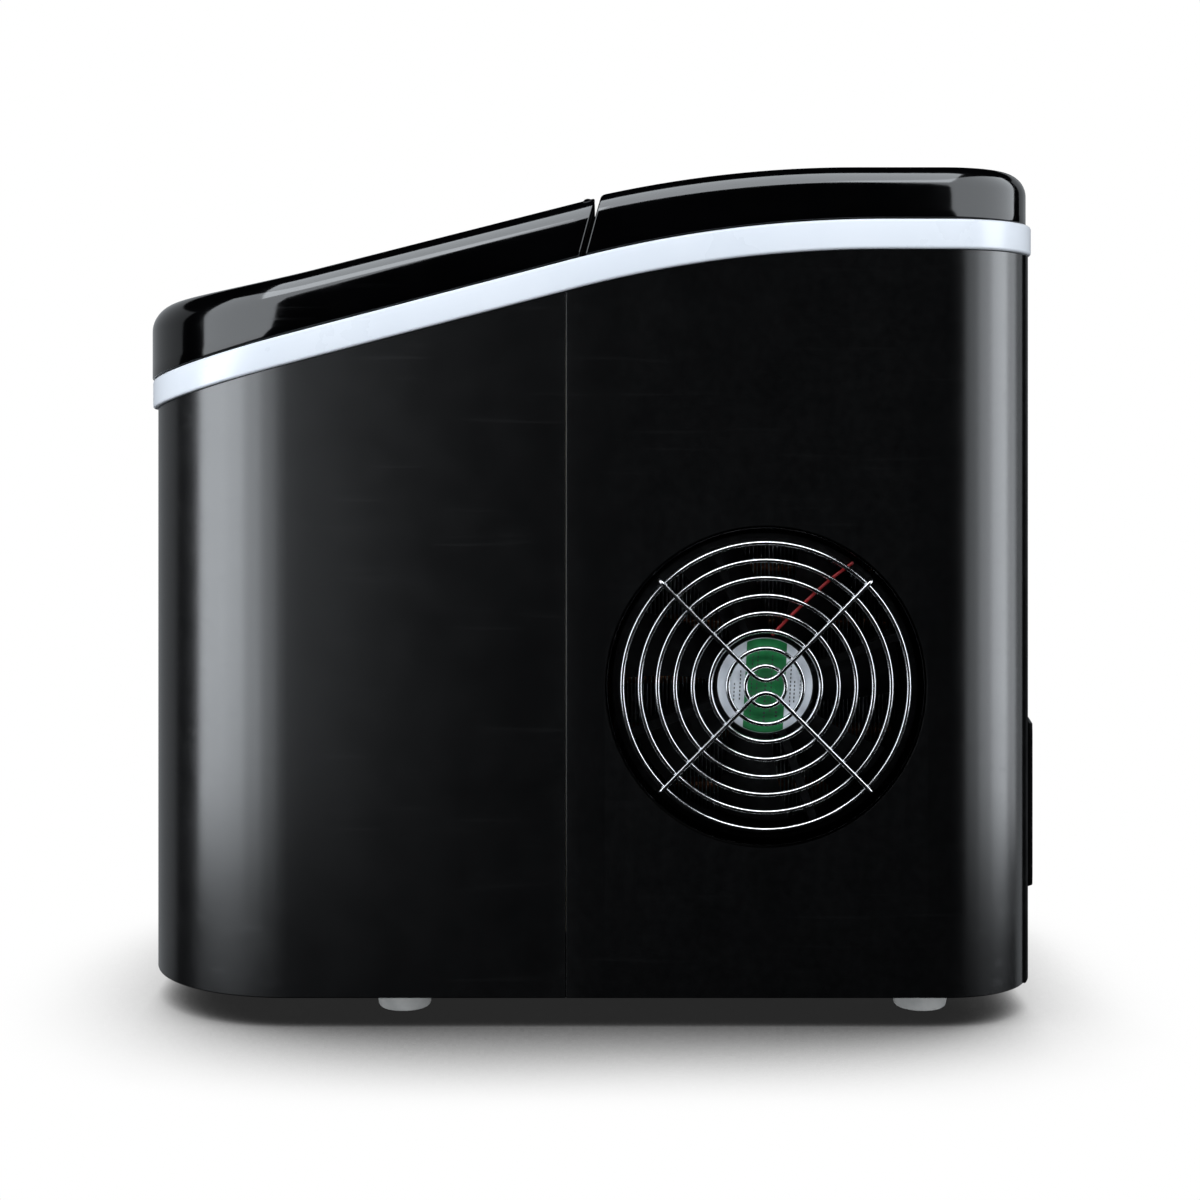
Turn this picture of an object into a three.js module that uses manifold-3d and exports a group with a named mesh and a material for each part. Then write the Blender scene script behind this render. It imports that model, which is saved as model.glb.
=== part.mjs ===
// A countertop ice maker: a wrapped cabinet on four feet, a hinged lid over the ice chamber, a tilting
// water tray under a row of freezing fingers, and a small refrigeration circuit with a side fan.
// Millimetres, +Z up. The front is at -Y, the fan side is at +X, and the floor is at Z = 0.
import * as THREE from "three";
import { mergeVertices } from "three/addons/utils/BufferGeometryUtils.js";
import Module from "manifold-3d";

const wasm = await Module();
wasm.setup();

// ---------------------------------------------------------------- driving dimensions

// Cabinet plan
const HALF_WIDTH = 118.8;
const HALF_DEPTH = 176.5;
const FRONT_RADIUS = 62;
const REAR_RADIUS = 37;
const BOW_RADIUS = 4000;
const SHEET = 1.2;
const FOOT_HEIGHT = 11;
const FOOT = { base: 10.5, top: 12 };
const SEAM_Y = -7.2;
const GAP = 0.3;

// Trim band: a straight slope, one bend, then level
const BAND_SLOPE = THREE.MathUtils.degToRad(14.7);
const BAND_BEND_RADIUS = 472;
const BAND_LEVEL_Y = 115;
const BAND_LEVEL_Z = 298.9;
const BAND_HEIGHT = 11.4;
const BAND_PROUD = 2;
const BAND_INSET = 2;

// Crown of the lid and of the rear cover
const LID_MID_Y = -33;
const LID_MID_Z = 310.2;
const LID_SLOPE = 0.254;
const LID_CURL_Y = -105;
const LID_CURL = 0.00138;
const COVER_TOP_Z = 331.4;
const COVER_LEVEL_Y = 105;
const COVER_RADIUS = 450;
const CROWN_WALL = 2.2;
const CROWN_ROUND = 11;
const LID_NOSE = 2.4;
const LID_LIFT = 0.6;
const LID_EDGE_RADIUS = 3.7;

// Split between lid and rear cover, and the hinge beside it
const SPLIT_TOP = new THREE.Vector2(5.5, 320.5);
const SPLIT_LEAN = THREE.MathUtils.degToRad(15);
const SPLIT_GAP = 2;
const HINGE_BACK = 3.1;
const HINGE_DEPTH = 4.8;
const HINGE_EAR_RADIUS = 2.3;
const HINGE_PIN_RADIUS = 1.2;

// Lid window
const WINDOW = { left: -70, right: 70, front: -150, rear: -34, corner: 14 };

// Control panel on the rear cover
const PANEL_Y = 45;
const PANEL_HALF = { x: 62, y: 21, corner: 8 };
const BUTTON_RADIUS = 7.5;
const BUTTON_PROUD = 0.8;
const LENS_RADIUS = 2.25;
const LENS_SPACING = 12;
const LENS_COUNT = 5;

// Side fan
const FAN_Y = 69.6;
const FAN_Z = 130.7;
const FAN_OPENING_RADIUS = 60.7;
const FAN_FACE_X = 114;
const FAN_DEPTH = 24;
const FAN_HUB_RADIUS = 18.7;
const GUARD_RINGS = 8;
const GUARD_INNER_RADIUS = 7.8;
const GUARD_PITCH = 6.77;
const GUARD_WIRE = 1.8;
const GUARD_X = 117.6;

// Rear vent and power inlet
const VENT = { half: 88, bottom: 46, top: 114, face: 178.9 };
const INLET = { x: -60, z: 31 };

// Ice chamber
const LINER_INSET = 13;
const LINER_WALL = 2;
const LINER_FLOOR_Z = 48;
const LINER_BACK_Y = -10;
const FOAM_BACK_Y = 0;
const TRAY = { y: -54, z: 200, inner: 33, outer: 35, half: 62, plate: 2, spread: 62 };
const SHOVEL = { inner: 37, outer: 39.5, half: 66.6, from: 60, to: 104 };
const BASKET = { inset: 19, rear: -90, bottom: 92, top: 196, wall: 2 };
const FLOAT = { x: 62, y: -48, bottom: 55.8, height: 14, radius: 12 };
const DRAIN = { y: -60, z: 60, recess: 15, pipe: 8, bore: 5.2 };

// ---------------------------------------------------------------- helpers

const degrees = THREE.MathUtils.degToRad;

// A closed geometry as a manifold-3d solid.
function solid(geometry) {
  const bare = geometry.clone();
  bare.deleteAttribute("normal");
  bare.deleteAttribute("uv");
  const merged = mergeVertices(bare, 1e-4);
  return new wasm.Manifold(
    new wasm.Mesh({
      numProp: 3,
      vertProperties: merged.attributes.position.array,
      triVerts: new Uint32Array(merged.index.array),
    }),
  );
}

// A manifold-3d solid back as a geometry.
function geometryOf(made) {
  const mesh = made.getMesh();
  const geometry = new THREE.BufferGeometry();
  geometry.setAttribute("position", new THREE.BufferAttribute(mesh.vertProperties, 3));
  geometry.setIndex(new THREE.BufferAttribute(mesh.triVerts, 1));
  geometry.computeVertexNormals();
  return geometry;
}

const join = (...pieces) => pieces.reduce((whole, piece) => whole.add(piece));
const cut = (whole, ...tools) => tools.reduce((rest, tool) => rest.subtract(tool), whole);

function box(x0, x1, y0, y1, z0, z1) {
  const geometry = new THREE.BoxGeometry(x1 - x0, y1 - y0, z1 - z0);
  geometry.translate((x0 + x1) / 2, (y0 + y1) / 2, (z0 + z1) / 2);
  return solid(geometry);
}

// Cylinders that run from a to b along one axis.
function rodX(y, z, radius, a, b, sides = 20) {
  const geometry = new THREE.CylinderGeometry(radius, radius, b - a, sides);
  geometry.rotateZ(Math.PI / 2);
  geometry.translate((a + b) / 2, y, z);
  return solid(geometry);
}

function rodY(x, z, radius, a, b, sides = 20) {
  const geometry = new THREE.CylinderGeometry(radius, radius, b - a, sides);
  geometry.translate(x, (a + b) / 2, z);
  return solid(geometry);
}

function rodZ(x, y, radius, a, b, sides = 20) {
  const geometry = new THREE.CylinderGeometry(radius, radius, b - a, sides);
  geometry.rotateX(Math.PI / 2);
  geometry.translate(x, y, (a + b) / 2);
  return solid(geometry);
}

// A turned solid about a vertical axis, from [radius, height] pairs that start and end on the axis.
function turned(profile, x, y, sides = 24) {
  const points = profile.map(([radius, height]) => new THREE.Vector2(radius, height));
  const geometry = new THREE.LatheGeometry(points, sides);
  geometry.rotateX(Math.PI / 2);
  geometry.translate(x, y, 0);
  return solid(geometry);
}

// A flat shape in X and Y, raised from z0 to z1.
function prism(shape, z0, z1) {
  const geometry = new THREE.ExtrudeGeometry(shape, {
    depth: z1 - z0,
    bevelEnabled: false,
    curveSegments: 4,
  });
  geometry.translate(0, 0, z0);
  return solid(geometry);
}

// A flat shape in Y and Z, stretched from x0 to x1.
function sideSolid(shape, x0, x1) {
  const geometry = new THREE.ExtrudeGeometry(shape, {
    depth: x1 - x0,
    bevelEnabled: false,
    curveSegments: 4,
  });
  const turn = new THREE.Matrix4().makeBasis(
    new THREE.Vector3(0, 1, 0),
    new THREE.Vector3(0, 0, 1),
    new THREE.Vector3(1, 0, 0),
  );
  geometry.applyMatrix4(turn);
  geometry.translate(x0, 0, 0);
  return solid(geometry);
}

function roundedRectangle(x0, x1, y0, y1, radius) {
  const shape = new THREE.Shape();
  shape.absarc(x1 - radius, y0 + radius, radius, -Math.PI / 2, 0, false);
  shape.absarc(x1 - radius, y1 - radius, radius, 0, Math.PI / 2, false);
  shape.absarc(x0 + radius, y1 - radius, radius, Math.PI / 2, Math.PI, false);
  shape.absarc(x0 + radius, y0 + radius, radius, Math.PI, Math.PI * 1.5, false);
  return shape;
}

// A round tube or wire along a smooth line through the given points.
function tube(points, radius, sides, steps) {
  const section = new THREE.Shape();
  for (let i = 0; i < sides; i += 1) {
    const angle = (2 * Math.PI * i) / sides;
    const corner = [radius * Math.cos(angle), radius * Math.sin(angle)];
    if (i === 0) section.moveTo(...corner);
    else section.lineTo(...corner);
  }
  const path = new THREE.CatmullRomCurve3(points.map((point) => new THREE.Vector3(...point)));
  return solid(new THREE.ExtrudeGeometry(section, { steps, extrudePath: path }));
}

function arcPoints(centreX, centreY, radius, from, to, steps) {
  return Array.from({ length: steps + 1 }, (_, i) => {
    const angle = from + ((to - from) * i) / steps;
    return new THREE.Vector2(centreX + radius * Math.cos(angle), centreY + radius * Math.sin(angle));
  });
}

// ---------------------------------------------------------------- cabinet outline and heights

const FRONT_CENTRE_X = HALF_WIDTH - FRONT_RADIUS;
const BOW_CENTRE_Y = BOW_RADIUS - HALF_DEPTH;
const FRONT_CENTRE_Y =
  BOW_CENTRE_Y - Math.sqrt((BOW_RADIUS - FRONT_RADIUS) ** 2 - FRONT_CENTRE_X ** 2);
const BOW_HALF_ANGLE = Math.asin(FRONT_CENTRE_X / (BOW_RADIUS - FRONT_RADIUS));
const REAR_CENTRE_X = HALF_WIDTH - REAR_RADIUS;
const REAR_CENTRE_Y = HALF_DEPTH - REAR_RADIUS;

// The right half of the plan, from the middle of the front to the middle of the rear, moved
// outwards by grow. The nose stretches the part ahead of the front corners.
function halfOutline(grow, nose = 0) {
  const down = -Math.PI / 2;
  const turnIn = down + BOW_HALF_ANGLE;
  const bow = arcPoints(0, BOW_CENTRE_Y, BOW_RADIUS + grow, down, turnIn, 3);
  const corner = arcPoints(FRONT_CENTRE_X, FRONT_CENTRE_Y, FRONT_RADIUS + grow, turnIn, 0, 7);
  const sideSteps = 8;
  const side = Array.from({ length: sideSteps - 1 }, (_, i) => {
    const along = (i + 1) / sideSteps;
    return new THREE.Vector2(
      HALF_WIDTH + grow,
      THREE.MathUtils.lerp(FRONT_CENTRE_Y, REAR_CENTRE_Y, along),
    );
  });
  const rear = arcPoints(REAR_CENTRE_X, REAR_CENTRE_Y, REAR_RADIUS + grow, 0, Math.PI / 2, 5);
  const middle = new THREE.Vector2(0, HALF_DEPTH + grow);
  const stretch = 1 + nose / (FRONT_CENTRE_Y + HALF_DEPTH);
  return [...bow, ...corner.slice(1), ...side, ...rear, middle].map((point) => {
    const ahead = Math.min(0, point.y - FRONT_CENTRE_Y);
    return new THREE.Vector2(point.x, point.y + ahead * (stretch - 1));
  });
}

// A closed solid through rings of the cabinet outline, lowest first. Each ring has a grow and a
// height that depends on how far back it is. Both ends are closed by strips across the width.
function loft(rings, nose = 0) {
  const halves = rings.map((ring) => halfOutline(ring.grow, nose));
  const last = halves[0].length - 1;
  const around = 2 * last;
  const positions = [];
  rings.forEach((ring, k) => {
    for (let j = 0; j < around; j += 1) {
      const mirrored = j > last;
      const point = halves[k][mirrored ? around - j : j];
      positions.push(mirrored ? -point.x : point.x, point.y, ring.height(point.y));
    }
  });
  const faces = [];
  for (let k = 0; k < rings.length - 1; k += 1) {
    for (let j = 0; j < around; j += 1) {
      const next = (j + 1) % around;
      const [a, b] = [k * around + j, k * around + next];
      const [c, d] = [b + around, a + around];
      faces.push(a, b, c, a, c, d);
    }
  }
  const top = (rings.length - 1) * around;
  for (let i = 0; i < last; i += 1) {
    const [right, rightNext] = [i, i + 1];
    const [left, leftNext] = [(around - i) % around, around - i - 1];
    if (i + 1 < last) {
      faces.push(top + right, top + rightNext, top + leftNext);
      faces.push(right, leftNext, rightNext);
    }
    if (i > 0) {
      faces.push(top + right, top + leftNext, top + left);
      faces.push(right, left, leftNext);
    }
  }
  const geometry = new THREE.BufferGeometry();
  geometry.setAttribute("position", new THREE.Float32BufferAttribute(positions, 3));
  geometry.setIndex(faces);
  return solid(geometry);
}

const level = (z) => () => z;

// The lower edge of the trim band at a depth y.
function bandBottom(y) {
  const bendStartY = BAND_LEVEL_Y - BAND_BEND_RADIUS * Math.sin(BAND_SLOPE);
  const bendStartZ = BAND_LEVEL_Z - BAND_BEND_RADIUS * (1 - Math.cos(BAND_SLOPE));
  if (y < bendStartY) return bendStartZ + (y - bendStartY) * Math.tan(BAND_SLOPE);
  const short = Math.max(0, BAND_LEVEL_Y - y);
  return BAND_LEVEL_Z - BAND_BEND_RADIUS + Math.sqrt(BAND_BEND_RADIUS ** 2 - short ** 2);
}

const bandTop = (y) => bandBottom(y) + BAND_HEIGHT;
const above = (curve, rise) => (y) => curve(y) + rise;

// The top of the lid and of the rear cover at a depth y.
function lidCrown(y) {
  const curled = Math.max(0, LID_CURL_Y - y);
  return LID_MID_Z + (y - LID_MID_Y) * LID_SLOPE + LID_CURL * curled ** 2;
}

function coverCrown(y) {
  const short = Math.max(0, COVER_LEVEL_Y - y);
  return COVER_TOP_Z - short ** 2 / (2 * COVER_RADIUS);
}

// A domed solid under a crown, shrunk by inset, with a rounded shoulder.
function dome(crown, inset, bottom, nose) {
  const radius = CROWN_ROUND - inset;
  const shoulder = [0, 30, 60, 90].map((angle) => {
    const turn = degrees(angle);
    return {
      grow: -inset - radius * (1 - Math.cos(turn)),
      height: above(crown, -inset - radius * (1 - Math.sin(turn))),
    };
  });
  return loft([{ grow: -inset, height: bottom }, ...shoulder], nose);
}

// A slab between two heights below a crown, over all of the cabinet.
function crownSlab(crown, upper, lower) {
  const steps = 14;
  const depths = Array.from({ length: steps + 1 }, (_, i) => -190 + (380 * i) / steps);
  const shape = new THREE.Shape([
    ...depths.map((y) => new THREE.Vector2(y, crown(y) - lower)),
    ...depths.reverse().map((y) => new THREE.Vector2(y, crown(y) - upper)),
  ]);
  return sideSolid(shape, -200, 200);
}

// Everything ahead of (side = -1) or behind (side = 1) the leaning split, offset away from it.
const splitUp = new THREE.Vector2(Math.sin(SPLIT_LEAN), Math.cos(SPLIT_LEAN));
const splitBack = new THREE.Vector2(Math.cos(SPLIT_LEAN), -Math.sin(SPLIT_LEAN));

function splitPoint(back, up) {
  return SPLIT_TOP.clone().addScaledVector(splitBack, back).addScaledVector(splitUp, up);
}

function splitHalf(side, offset) {
  const corners = [
    splitPoint(side * offset, -150),
    splitPoint(side * (offset + 400), -150),
    splitPoint(side * (offset + 400), 150),
    splitPoint(side * offset, 150),
  ];
  if (side < 0) corners.reverse();
  return sideSolid(new THREE.Shape(corners), -200, 200);
}

const HINGE = splitPoint(-HINGE_BACK, -HINGE_DEPTH);

// A strip that follows the split through the hinge axis, half wide to each side of it.
function splitStrip(half, from, to) {
  return new THREE.Shape([
    splitPoint(-HINGE_BACK - half, from),
    splitPoint(-HINGE_BACK + half, from),
    splitPoint(-HINGE_BACK + half, to),
    splitPoint(-HINGE_BACK - half, to),
  ]);
}

// ---------------------------------------------------------------- the group and its materials

const iceMaker = new THREE.Group();
iceMaker.name = "ice_maker";

const finishes = {
  blackSteel: { color: 0x0b0c0d, roughness: 0.32, metalness: 0.35 },
  glossBlack: { color: 0x08090a, roughness: 0.12, metalness: 0 },
  mattBlack: { color: 0x141516, roughness: 0.6, metalness: 0 },
  whiteTrim: { color: 0xe6ebf2, roughness: 0.3, metalness: 0 },
  smoked: { color: 0x23262a, roughness: 0.08, metalness: 0 },
  greyRubber: { color: 0xb9b9b6, roughness: 0.8, metalness: 0 },
  chromeWire: { color: 0xd5d7da, roughness: 0.15, metalness: 1 },
  aluminium: { color: 0xb8bcc0, roughness: 0.4, metalness: 0.9 },
  steel: { color: 0x9a9ea3, roughness: 0.35, metalness: 0.9 },
  copper: { color: 0xb87447, roughness: 0.35, metalness: 0.95 },
  paleLiner: { color: 0xd9dcdd, roughness: 0.45, metalness: 0 },
  basketGrey: { color: 0xc4cbd0, roughness: 0.35, metalness: 0 },
  foam: { color: 0xe8dfc4, roughness: 0.95, metalness: 0 },
  board: { color: 0x1d5a36, roughness: 0.5, metalness: 0 },
  label: { color: 0x8fa39a, roughness: 0.4, metalness: 0.4 },
  redLead: { color: 0xb3202a, roughness: 0.5, metalness: 0 },
  clearHose: { color: 0xdfe5e6, roughness: 0.3, metalness: 0 },
  lens: { color: 0xcfd8dd, roughness: 0.2, metalness: 0 },
};

function place(name, finish, made, parent = iceMaker) {
  const material = new THREE.MeshStandardMaterial(finishes[finish]);
  const mesh = new THREE.Mesh(geometryOf(made), material);
  mesh.name = name;
  parent.add(mesh);
}

// ---------------------------------------------------------------- cabinet shells

function wallRing(outer, inner, bottom, top) {
  const whole = loft([
    { grow: outer, height: bottom },
    { grow: outer, height: top },
  ]);
  const hollow = loft([
    { grow: inner, height: above(bottom, -5) },
    { grow: inner, height: above(top, 5) },
  ]);
  return cut(whole, hollow);
}

// A stack of equal slots along Z, cut through a wall.
function slots(count, pitch, firstZ, height, make) {
  const all = Array.from({ length: count }, (_, i) => {
    const z = firstZ + i * pitch;
    return make(z, z + height);
  });
  return join(...all);
}

const REAR_EDGE_X = 97.4;
const shellTop = above(bandBottom, -GAP);
const wrap = wallRing(0, -SHEET, level(FOOT_HEIGHT), shellTop);
const backZone = box(-REAR_EDGE_X, REAR_EDGE_X, 140, 200, 0, 400);
const frontZone = box(-200, 200, -200, SEAM_Y - 0.2, 0, 400);
const drainHole = rodX(DRAIN.y, DRAIN.z, DRAIN.recess, -130, -100, 24);
place("front_shell", "blackSteel", cut(wrap.intersect(frontZone), drainHole));

const sideZone = cut(box(-200, 200, SEAM_Y + 0.2, 200, 0, 400), backZone);
const fanHole = rodX(FAN_Y, FAN_Z, FAN_OPENING_RADIUS, 100, 130, 48);
const rightZone = box(0, 200, -200, 200, 0, 400);
place("right_side_panel", "blackSteel", cut(wrap.intersect(sideZone).intersect(rightZone), fanHole));

const inletSlots = slots(12, 9, 82, 3.5, (z0, z1) => box(-130, -100, 30, 118, z0, z1));
const leftWrap = cut(wrap.intersect(sideZone), rightZone);
place("left_side_panel", "blackSteel", cut(leftWrap, inletSlots));

const BACK_PROUD = 0.9;
const backWall = wallRing(BACK_PROUD, -1.3, level(FOOT_HEIGHT), shellTop);
const backPanelZone = box(-REAR_EDGE_X + GAP, REAR_EDGE_X - GAP, 140, 200, 0, 400);
const ventHole = box(-VENT.half + 6, VENT.half - 6, 160, 200, VENT.bottom + 8, VENT.top - 8);
const inletHole = box(INLET.x - 14.5, INLET.x + 14.5, 160, 200, INLET.z - 10.5, INLET.z + 10.5);
place("back_panel", "mattBlack", cut(backWall.intersect(backPanelZone), ventHole, inletHole));

// The vent stands proud of the back panel, with a collar that passes into its opening.
function rearVent() {
  const back = HALF_DEPTH + BACK_PROUD + 0.2;
  const plate = box(-VENT.half, VENT.half, back, VENT.face, VENT.bottom, VENT.top);
  const collar = box(-VENT.half + 7, VENT.half - 7, back - 6, back + 0.5, VENT.bottom + 9, VENT.top - 9);
  const bore = box(-VENT.half + 9, VENT.half - 9, back - 8, back, VENT.bottom + 11, VENT.top - 11);
  const columns = [-52, 0, 52].map((x) =>
    slots(6, 7.4, VENT.bottom + 13, 4, (z0, z1) => box(x - 23, x + 23, 160, 200, z0, z1)),
  );
  return cut(join(plate, collar), bore, ...columns);
}
place("rear_vent_grille", "mattBlack", rearVent());

function powerInlet() {
  const face = HALF_DEPTH + BACK_PROUD + 0.2;
  const flange = box(INLET.x - 17, INLET.x + 17, face, face + 1.1, INLET.z - 13, INLET.z + 13);
  const body = box(INLET.x - 14, INLET.x + 14, face - 22, face + 0.5, INLET.z - 10, INLET.z + 10);
  const mouth = box(INLET.x - 12, INLET.x + 12, face - 16, face + 5, INLET.z - 8, INLET.z + 8);
  const pins = [-6.5, 0, 6.5].map((offset) => {
    const x = INLET.x + offset;
    return box(x - 1, x + 1, face - 17, face - 2, INLET.z - 2, INLET.z + 2);
  });
  return join(cut(join(flange, body), mouth), ...pins);
}
place("power_inlet", "mattBlack", powerInlet());

function basePan() {
  const inset = -SHEET - 0.4;
  const tray = loft([
    { grow: inset, height: level(FOOT_HEIGHT) },
    { grow: inset, height: level(FOOT_HEIGHT + 8) },
  ]);
  const hollow = loft([
    { grow: inset - 2, height: level(FOOT_HEIGHT + 2) },
    { grow: inset - 2, height: level(FOOT_HEIGHT + 20) },
  ]);
  return cut(tray, hollow);
}
place("base_pan", "mattBlack", basePan());

const FEET = [
  ["foot_front_right", 88, -72],
  ["foot_front_left", -88, -72],
  ["foot_rear_right", 88, 133.6],
  ["foot_rear_left", -88, 133.6],
];
for (const [name, x, y] of FEET) {
  const profile = [
    [0, 0],
    [FOOT.base - 1, 0],
    [FOOT.base, 1],
    [FOOT.top, FOOT_HEIGHT - GAP],
    [0, FOOT_HEIGHT - GAP],
  ];
  place(name, "greyRubber", turned(profile, x, y, 20));
}

// The band grips the tops of the shells all round, with softened edges.
function trimBand() {
  const soft = 0.7;
  const outer = loft([
    { grow: BAND_PROUD - soft, height: bandBottom },
    { grow: BAND_PROUD, height: above(bandBottom, soft) },
    { grow: BAND_PROUD, height: above(bandTop, -soft) },
    { grow: BAND_PROUD - soft, height: bandTop },
  ]);
  const inner = loft([
    { grow: -BAND_INSET, height: above(bandBottom, -5) },
    { grow: -BAND_INSET, height: above(bandTop, 5) },
  ]);
  return cut(outer, inner);
}
place("trim_band", "whiteTrim", trimBand());

// ---------------------------------------------------------------- deck, lid and rear cover

const EAR_X = { from: 99, to: 103 };

// A ring under the band, open over the ice chamber and over the machinery, with two hinge ears.
function upperDeck() {
  const slab = loft([
    { grow: -BAND_INSET - 0.4, height: above(bandBottom, 2) },
    { grow: -BAND_INSET - 0.4, height: above(bandBottom, 5) },
  ]);
  const chamber = loft([
    { grow: -LINER_INSET - 2.5, height: level(100) },
    { grow: -LINER_INSET - 2.5, height: level(400) },
  ]).intersect(box(-200, 200, -200, LINER_BACK_Y - 2, 0, 400));
  const machinery = box(-70, 70, 24, 130, 200, 400);
  const ears = [-1, 1].map((side) => {
    const [x0, x1] = [EAR_X.from * side, EAR_X.to * side].sort((a, b) => a - b);
    const post = sideSolid(splitStrip(HINGE_EAR_RADIUS, -36.5, -HINGE_DEPTH), x0, x1);
    const end = rodX(HINGE.x, HINGE.y, HINGE_EAR_RADIUS, x0, x1, 16);
    return cut(join(post, end), rodX(HINGE.x, HINGE.y, HINGE_PIN_RADIUS + 0.2, x0 - 1, x1 + 1, 12));
  });
  return join(cut(slab, chamber, machinery), ...ears);
}
place("upper_deck", "mattBlack", upperDeck());

for (const [name, side] of [["hinge_pin_right", 1], ["hinge_pin_left", -1]]) {
  const [x0, x1] = [(EAR_X.from - 1) * side, 108 * side].sort((a, b) => a - b);
  place(name, "steel", rodX(HINGE.x, HINGE.y, HINGE_PIN_RADIUS, x0, x1, 12));
}

const windowShape = (margin) =>
  roundedRectangle(
    WINDOW.left - margin,
    WINDOW.right + margin,
    WINDOW.front - margin,
    WINDOW.rear + margin,
    WINDOW.corner + margin,
  );

function frontLid() {
  const lower = above(bandTop, LID_LIFT);
  const outside = dome(lidCrown, 0, lower, LID_NOSE).intersect(splitHalf(-1, SPLIT_GAP / 2));
  const inside = dome(lidCrown, CROWN_WALL, above(lower, -8), LID_NOSE).intersect(
    splitHalf(-1, SPLIT_GAP / 2 + CROWN_WALL),
  );
  const ledge = prism(windowShape(3), 200, 400).intersect(
    crownSlab(lidCrown, CROWN_WALL - 0.2, CROWN_WALL + 2),
  );
  const opening = prism(windowShape(GAP), 200, 400).intersect(crownSlab(lidCrown, -5, 2.3));
  const throughHole = prism(windowShape(-3), 200, 400);
  const notches = [-1, 1].map((side) => {
    const [x0, x1] = [(EAR_X.from - 0.8) * side, (EAR_X.to + 0.8) * side].sort((a, b) => a - b);
    const knuckle = box(x0, x1, HINGE.x - HINGE_EAR_RADIUS - 0.5, HINGE.x + 20, HINGE.y - 5, 400);
    return join(knuckle, box(x0, x1, HINGE.x - 10, HINGE.x + 20, 270, HINGE.y - 4));
  });
  const bosses = [-1, 1].map((side) => {
    const [x0, x1] = [(EAR_X.to + 0.8) * side, 112 * side].sort((a, b) => a - b);
    return rodX(HINGE.x, HINGE.y, HINGE_EAR_RADIUS, x0, x1, 16);
  });
  const bores = [-1, 1].map((side) => {
    const [x0, x1] = [(EAR_X.from - 1.5) * side, 108.5 * side].sort((a, b) => a - b);
    return rodX(HINGE.x, HINGE.y, HINGE_PIN_RADIUS + 0.3, x0, x1, 12);
  });
  // The rear top edge is rounded about the hinge, so that it clears the rear cover as it turns.
  const softEdge = cut(
    sideSolid(
      new THREE.Shape([
        splitPoint(-HINGE_BACK, -HINGE_DEPTH),
        splitPoint(5, -HINGE_DEPTH),
        splitPoint(5, 10),
        splitPoint(-HINGE_BACK, 10),
      ]),
      -200,
      200,
    ),
    rodX(HINGE.x, HINGE.y, LID_EDGE_RADIUS, -201, 201, 40),
  );
  const hollow = cut(outside, inside, ...notches, softEdge);
  return cut(join(hollow, ledge, ...bosses), opening, throughHole, ...bores);
}
place("front_lid", "glossBlack", frontLid());

const pane = prism(windowShape(0), 200, 400).intersect(crownSlab(lidCrown, GAP, 2));
place("lid_window", "smoked", pane);

// The plane of the control panel leans with the crown. Its own Z points out of the cover.
const PANEL_TILT = Math.atan((COVER_LEVEL_Y - PANEL_Y) / COVER_RADIUS);
const panelFrame = new THREE.Matrix4()
  .makeTranslation(0, PANEL_Y, coverCrown(PANEL_Y))
  .multiply(new THREE.Matrix4().makeRotationX(PANEL_TILT));

function onPanel(made) {
  return made.transform(panelFrame.elements);
}

const BUTTONS = [
  ["power_button", 44],
  ["select_button", 22],
];
const lensX = (i) => -52 + i * LENS_SPACING;

function panelHoles(extra) {
  const buttons = BUTTONS.map(([, x]) => rodZ(x, 0, BUTTON_RADIUS + extra, -20, 20, 24));
  const lenses = Array.from({ length: LENS_COUNT }, (_, i) =>
    rodZ(lensX(i), 0, LENS_RADIUS + extra, -20, 20, 12),
  );
  return onPanel(join(...buttons, ...lenses));
}

const panelShape = (margin) =>
  roundedRectangle(
    -PANEL_HALF.x - margin,
    PANEL_HALF.x + margin,
    PANEL_Y - PANEL_HALF.y - margin,
    PANEL_Y + PANEL_HALF.y + margin,
    PANEL_HALF.corner + margin,
  );

function rearCover() {
  const lower = above(bandTop, LID_LIFT);
  const outside = dome(coverCrown, 0, lower, 0).intersect(splitHalf(1, SPLIT_GAP / 2));
  const inside = dome(coverCrown, CROWN_WALL, above(lower, -8), 0).intersect(
    splitHalf(1, SPLIT_GAP / 2 + CROWN_WALL),
  );
  const recess = prism(panelShape(GAP), 300, 400).intersect(crownSlab(coverCrown, -5, 1.2));
  return cut(outside, inside, recess, panelHoles(0.4));
}
place("rear_cover", "glossBlack", rearCover());

const overlay = prism(panelShape(0), 300, 400).intersect(crownSlab(coverCrown, 0.1, 1));
place("control_overlay", "glossBlack", cut(overlay, panelHoles(0.4)));

for (const [name, x] of BUTTONS) {
  const cap = rodZ(x, 0, BUTTON_RADIUS, -3.4, BUTTON_PROUD, 24);
  const flange = rodZ(x, 0, BUTTON_RADIUS + 1.5, -4.4, -3, 24);
  const stem = rodZ(x, 0, 3, -9, -4, 12);
  place(name, "whiteTrim", onPanel(join(cap, flange, stem)));
}

for (let i = 0; i < LENS_COUNT; i += 1) {
  place("indicator_lens_" + (i + 1), "lens", onPanel(rodZ(lensX(i), 0, LENS_RADIUS, -4, 0.1, 12)));
}

function controlBoard() {
  const sheet = box(-58, 58, -17, 17, -13.6, -12);
  const chip = box(-20, -6, -6, 8, -12.2, -10);
  const plug = box(-50, -38, -14, -7, -12.2, -7);
  return onPanel(join(sheet, chip, plug));
}
place("control_board", "board", controlBoard());

// ---------------------------------------------------------------- ice chamber

// Solid space inside the outline moved in by inset, ahead of a rear plane.
function chamberBlock(inset, rearY, bottom, top) {
  const whole = loft([
    { grow: -inset, height: level(bottom) },
    { grow: -inset, height: top },
  ]);
  return whole.intersect(box(-200, 200, -200, rearY, 0, 400));
}

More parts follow.
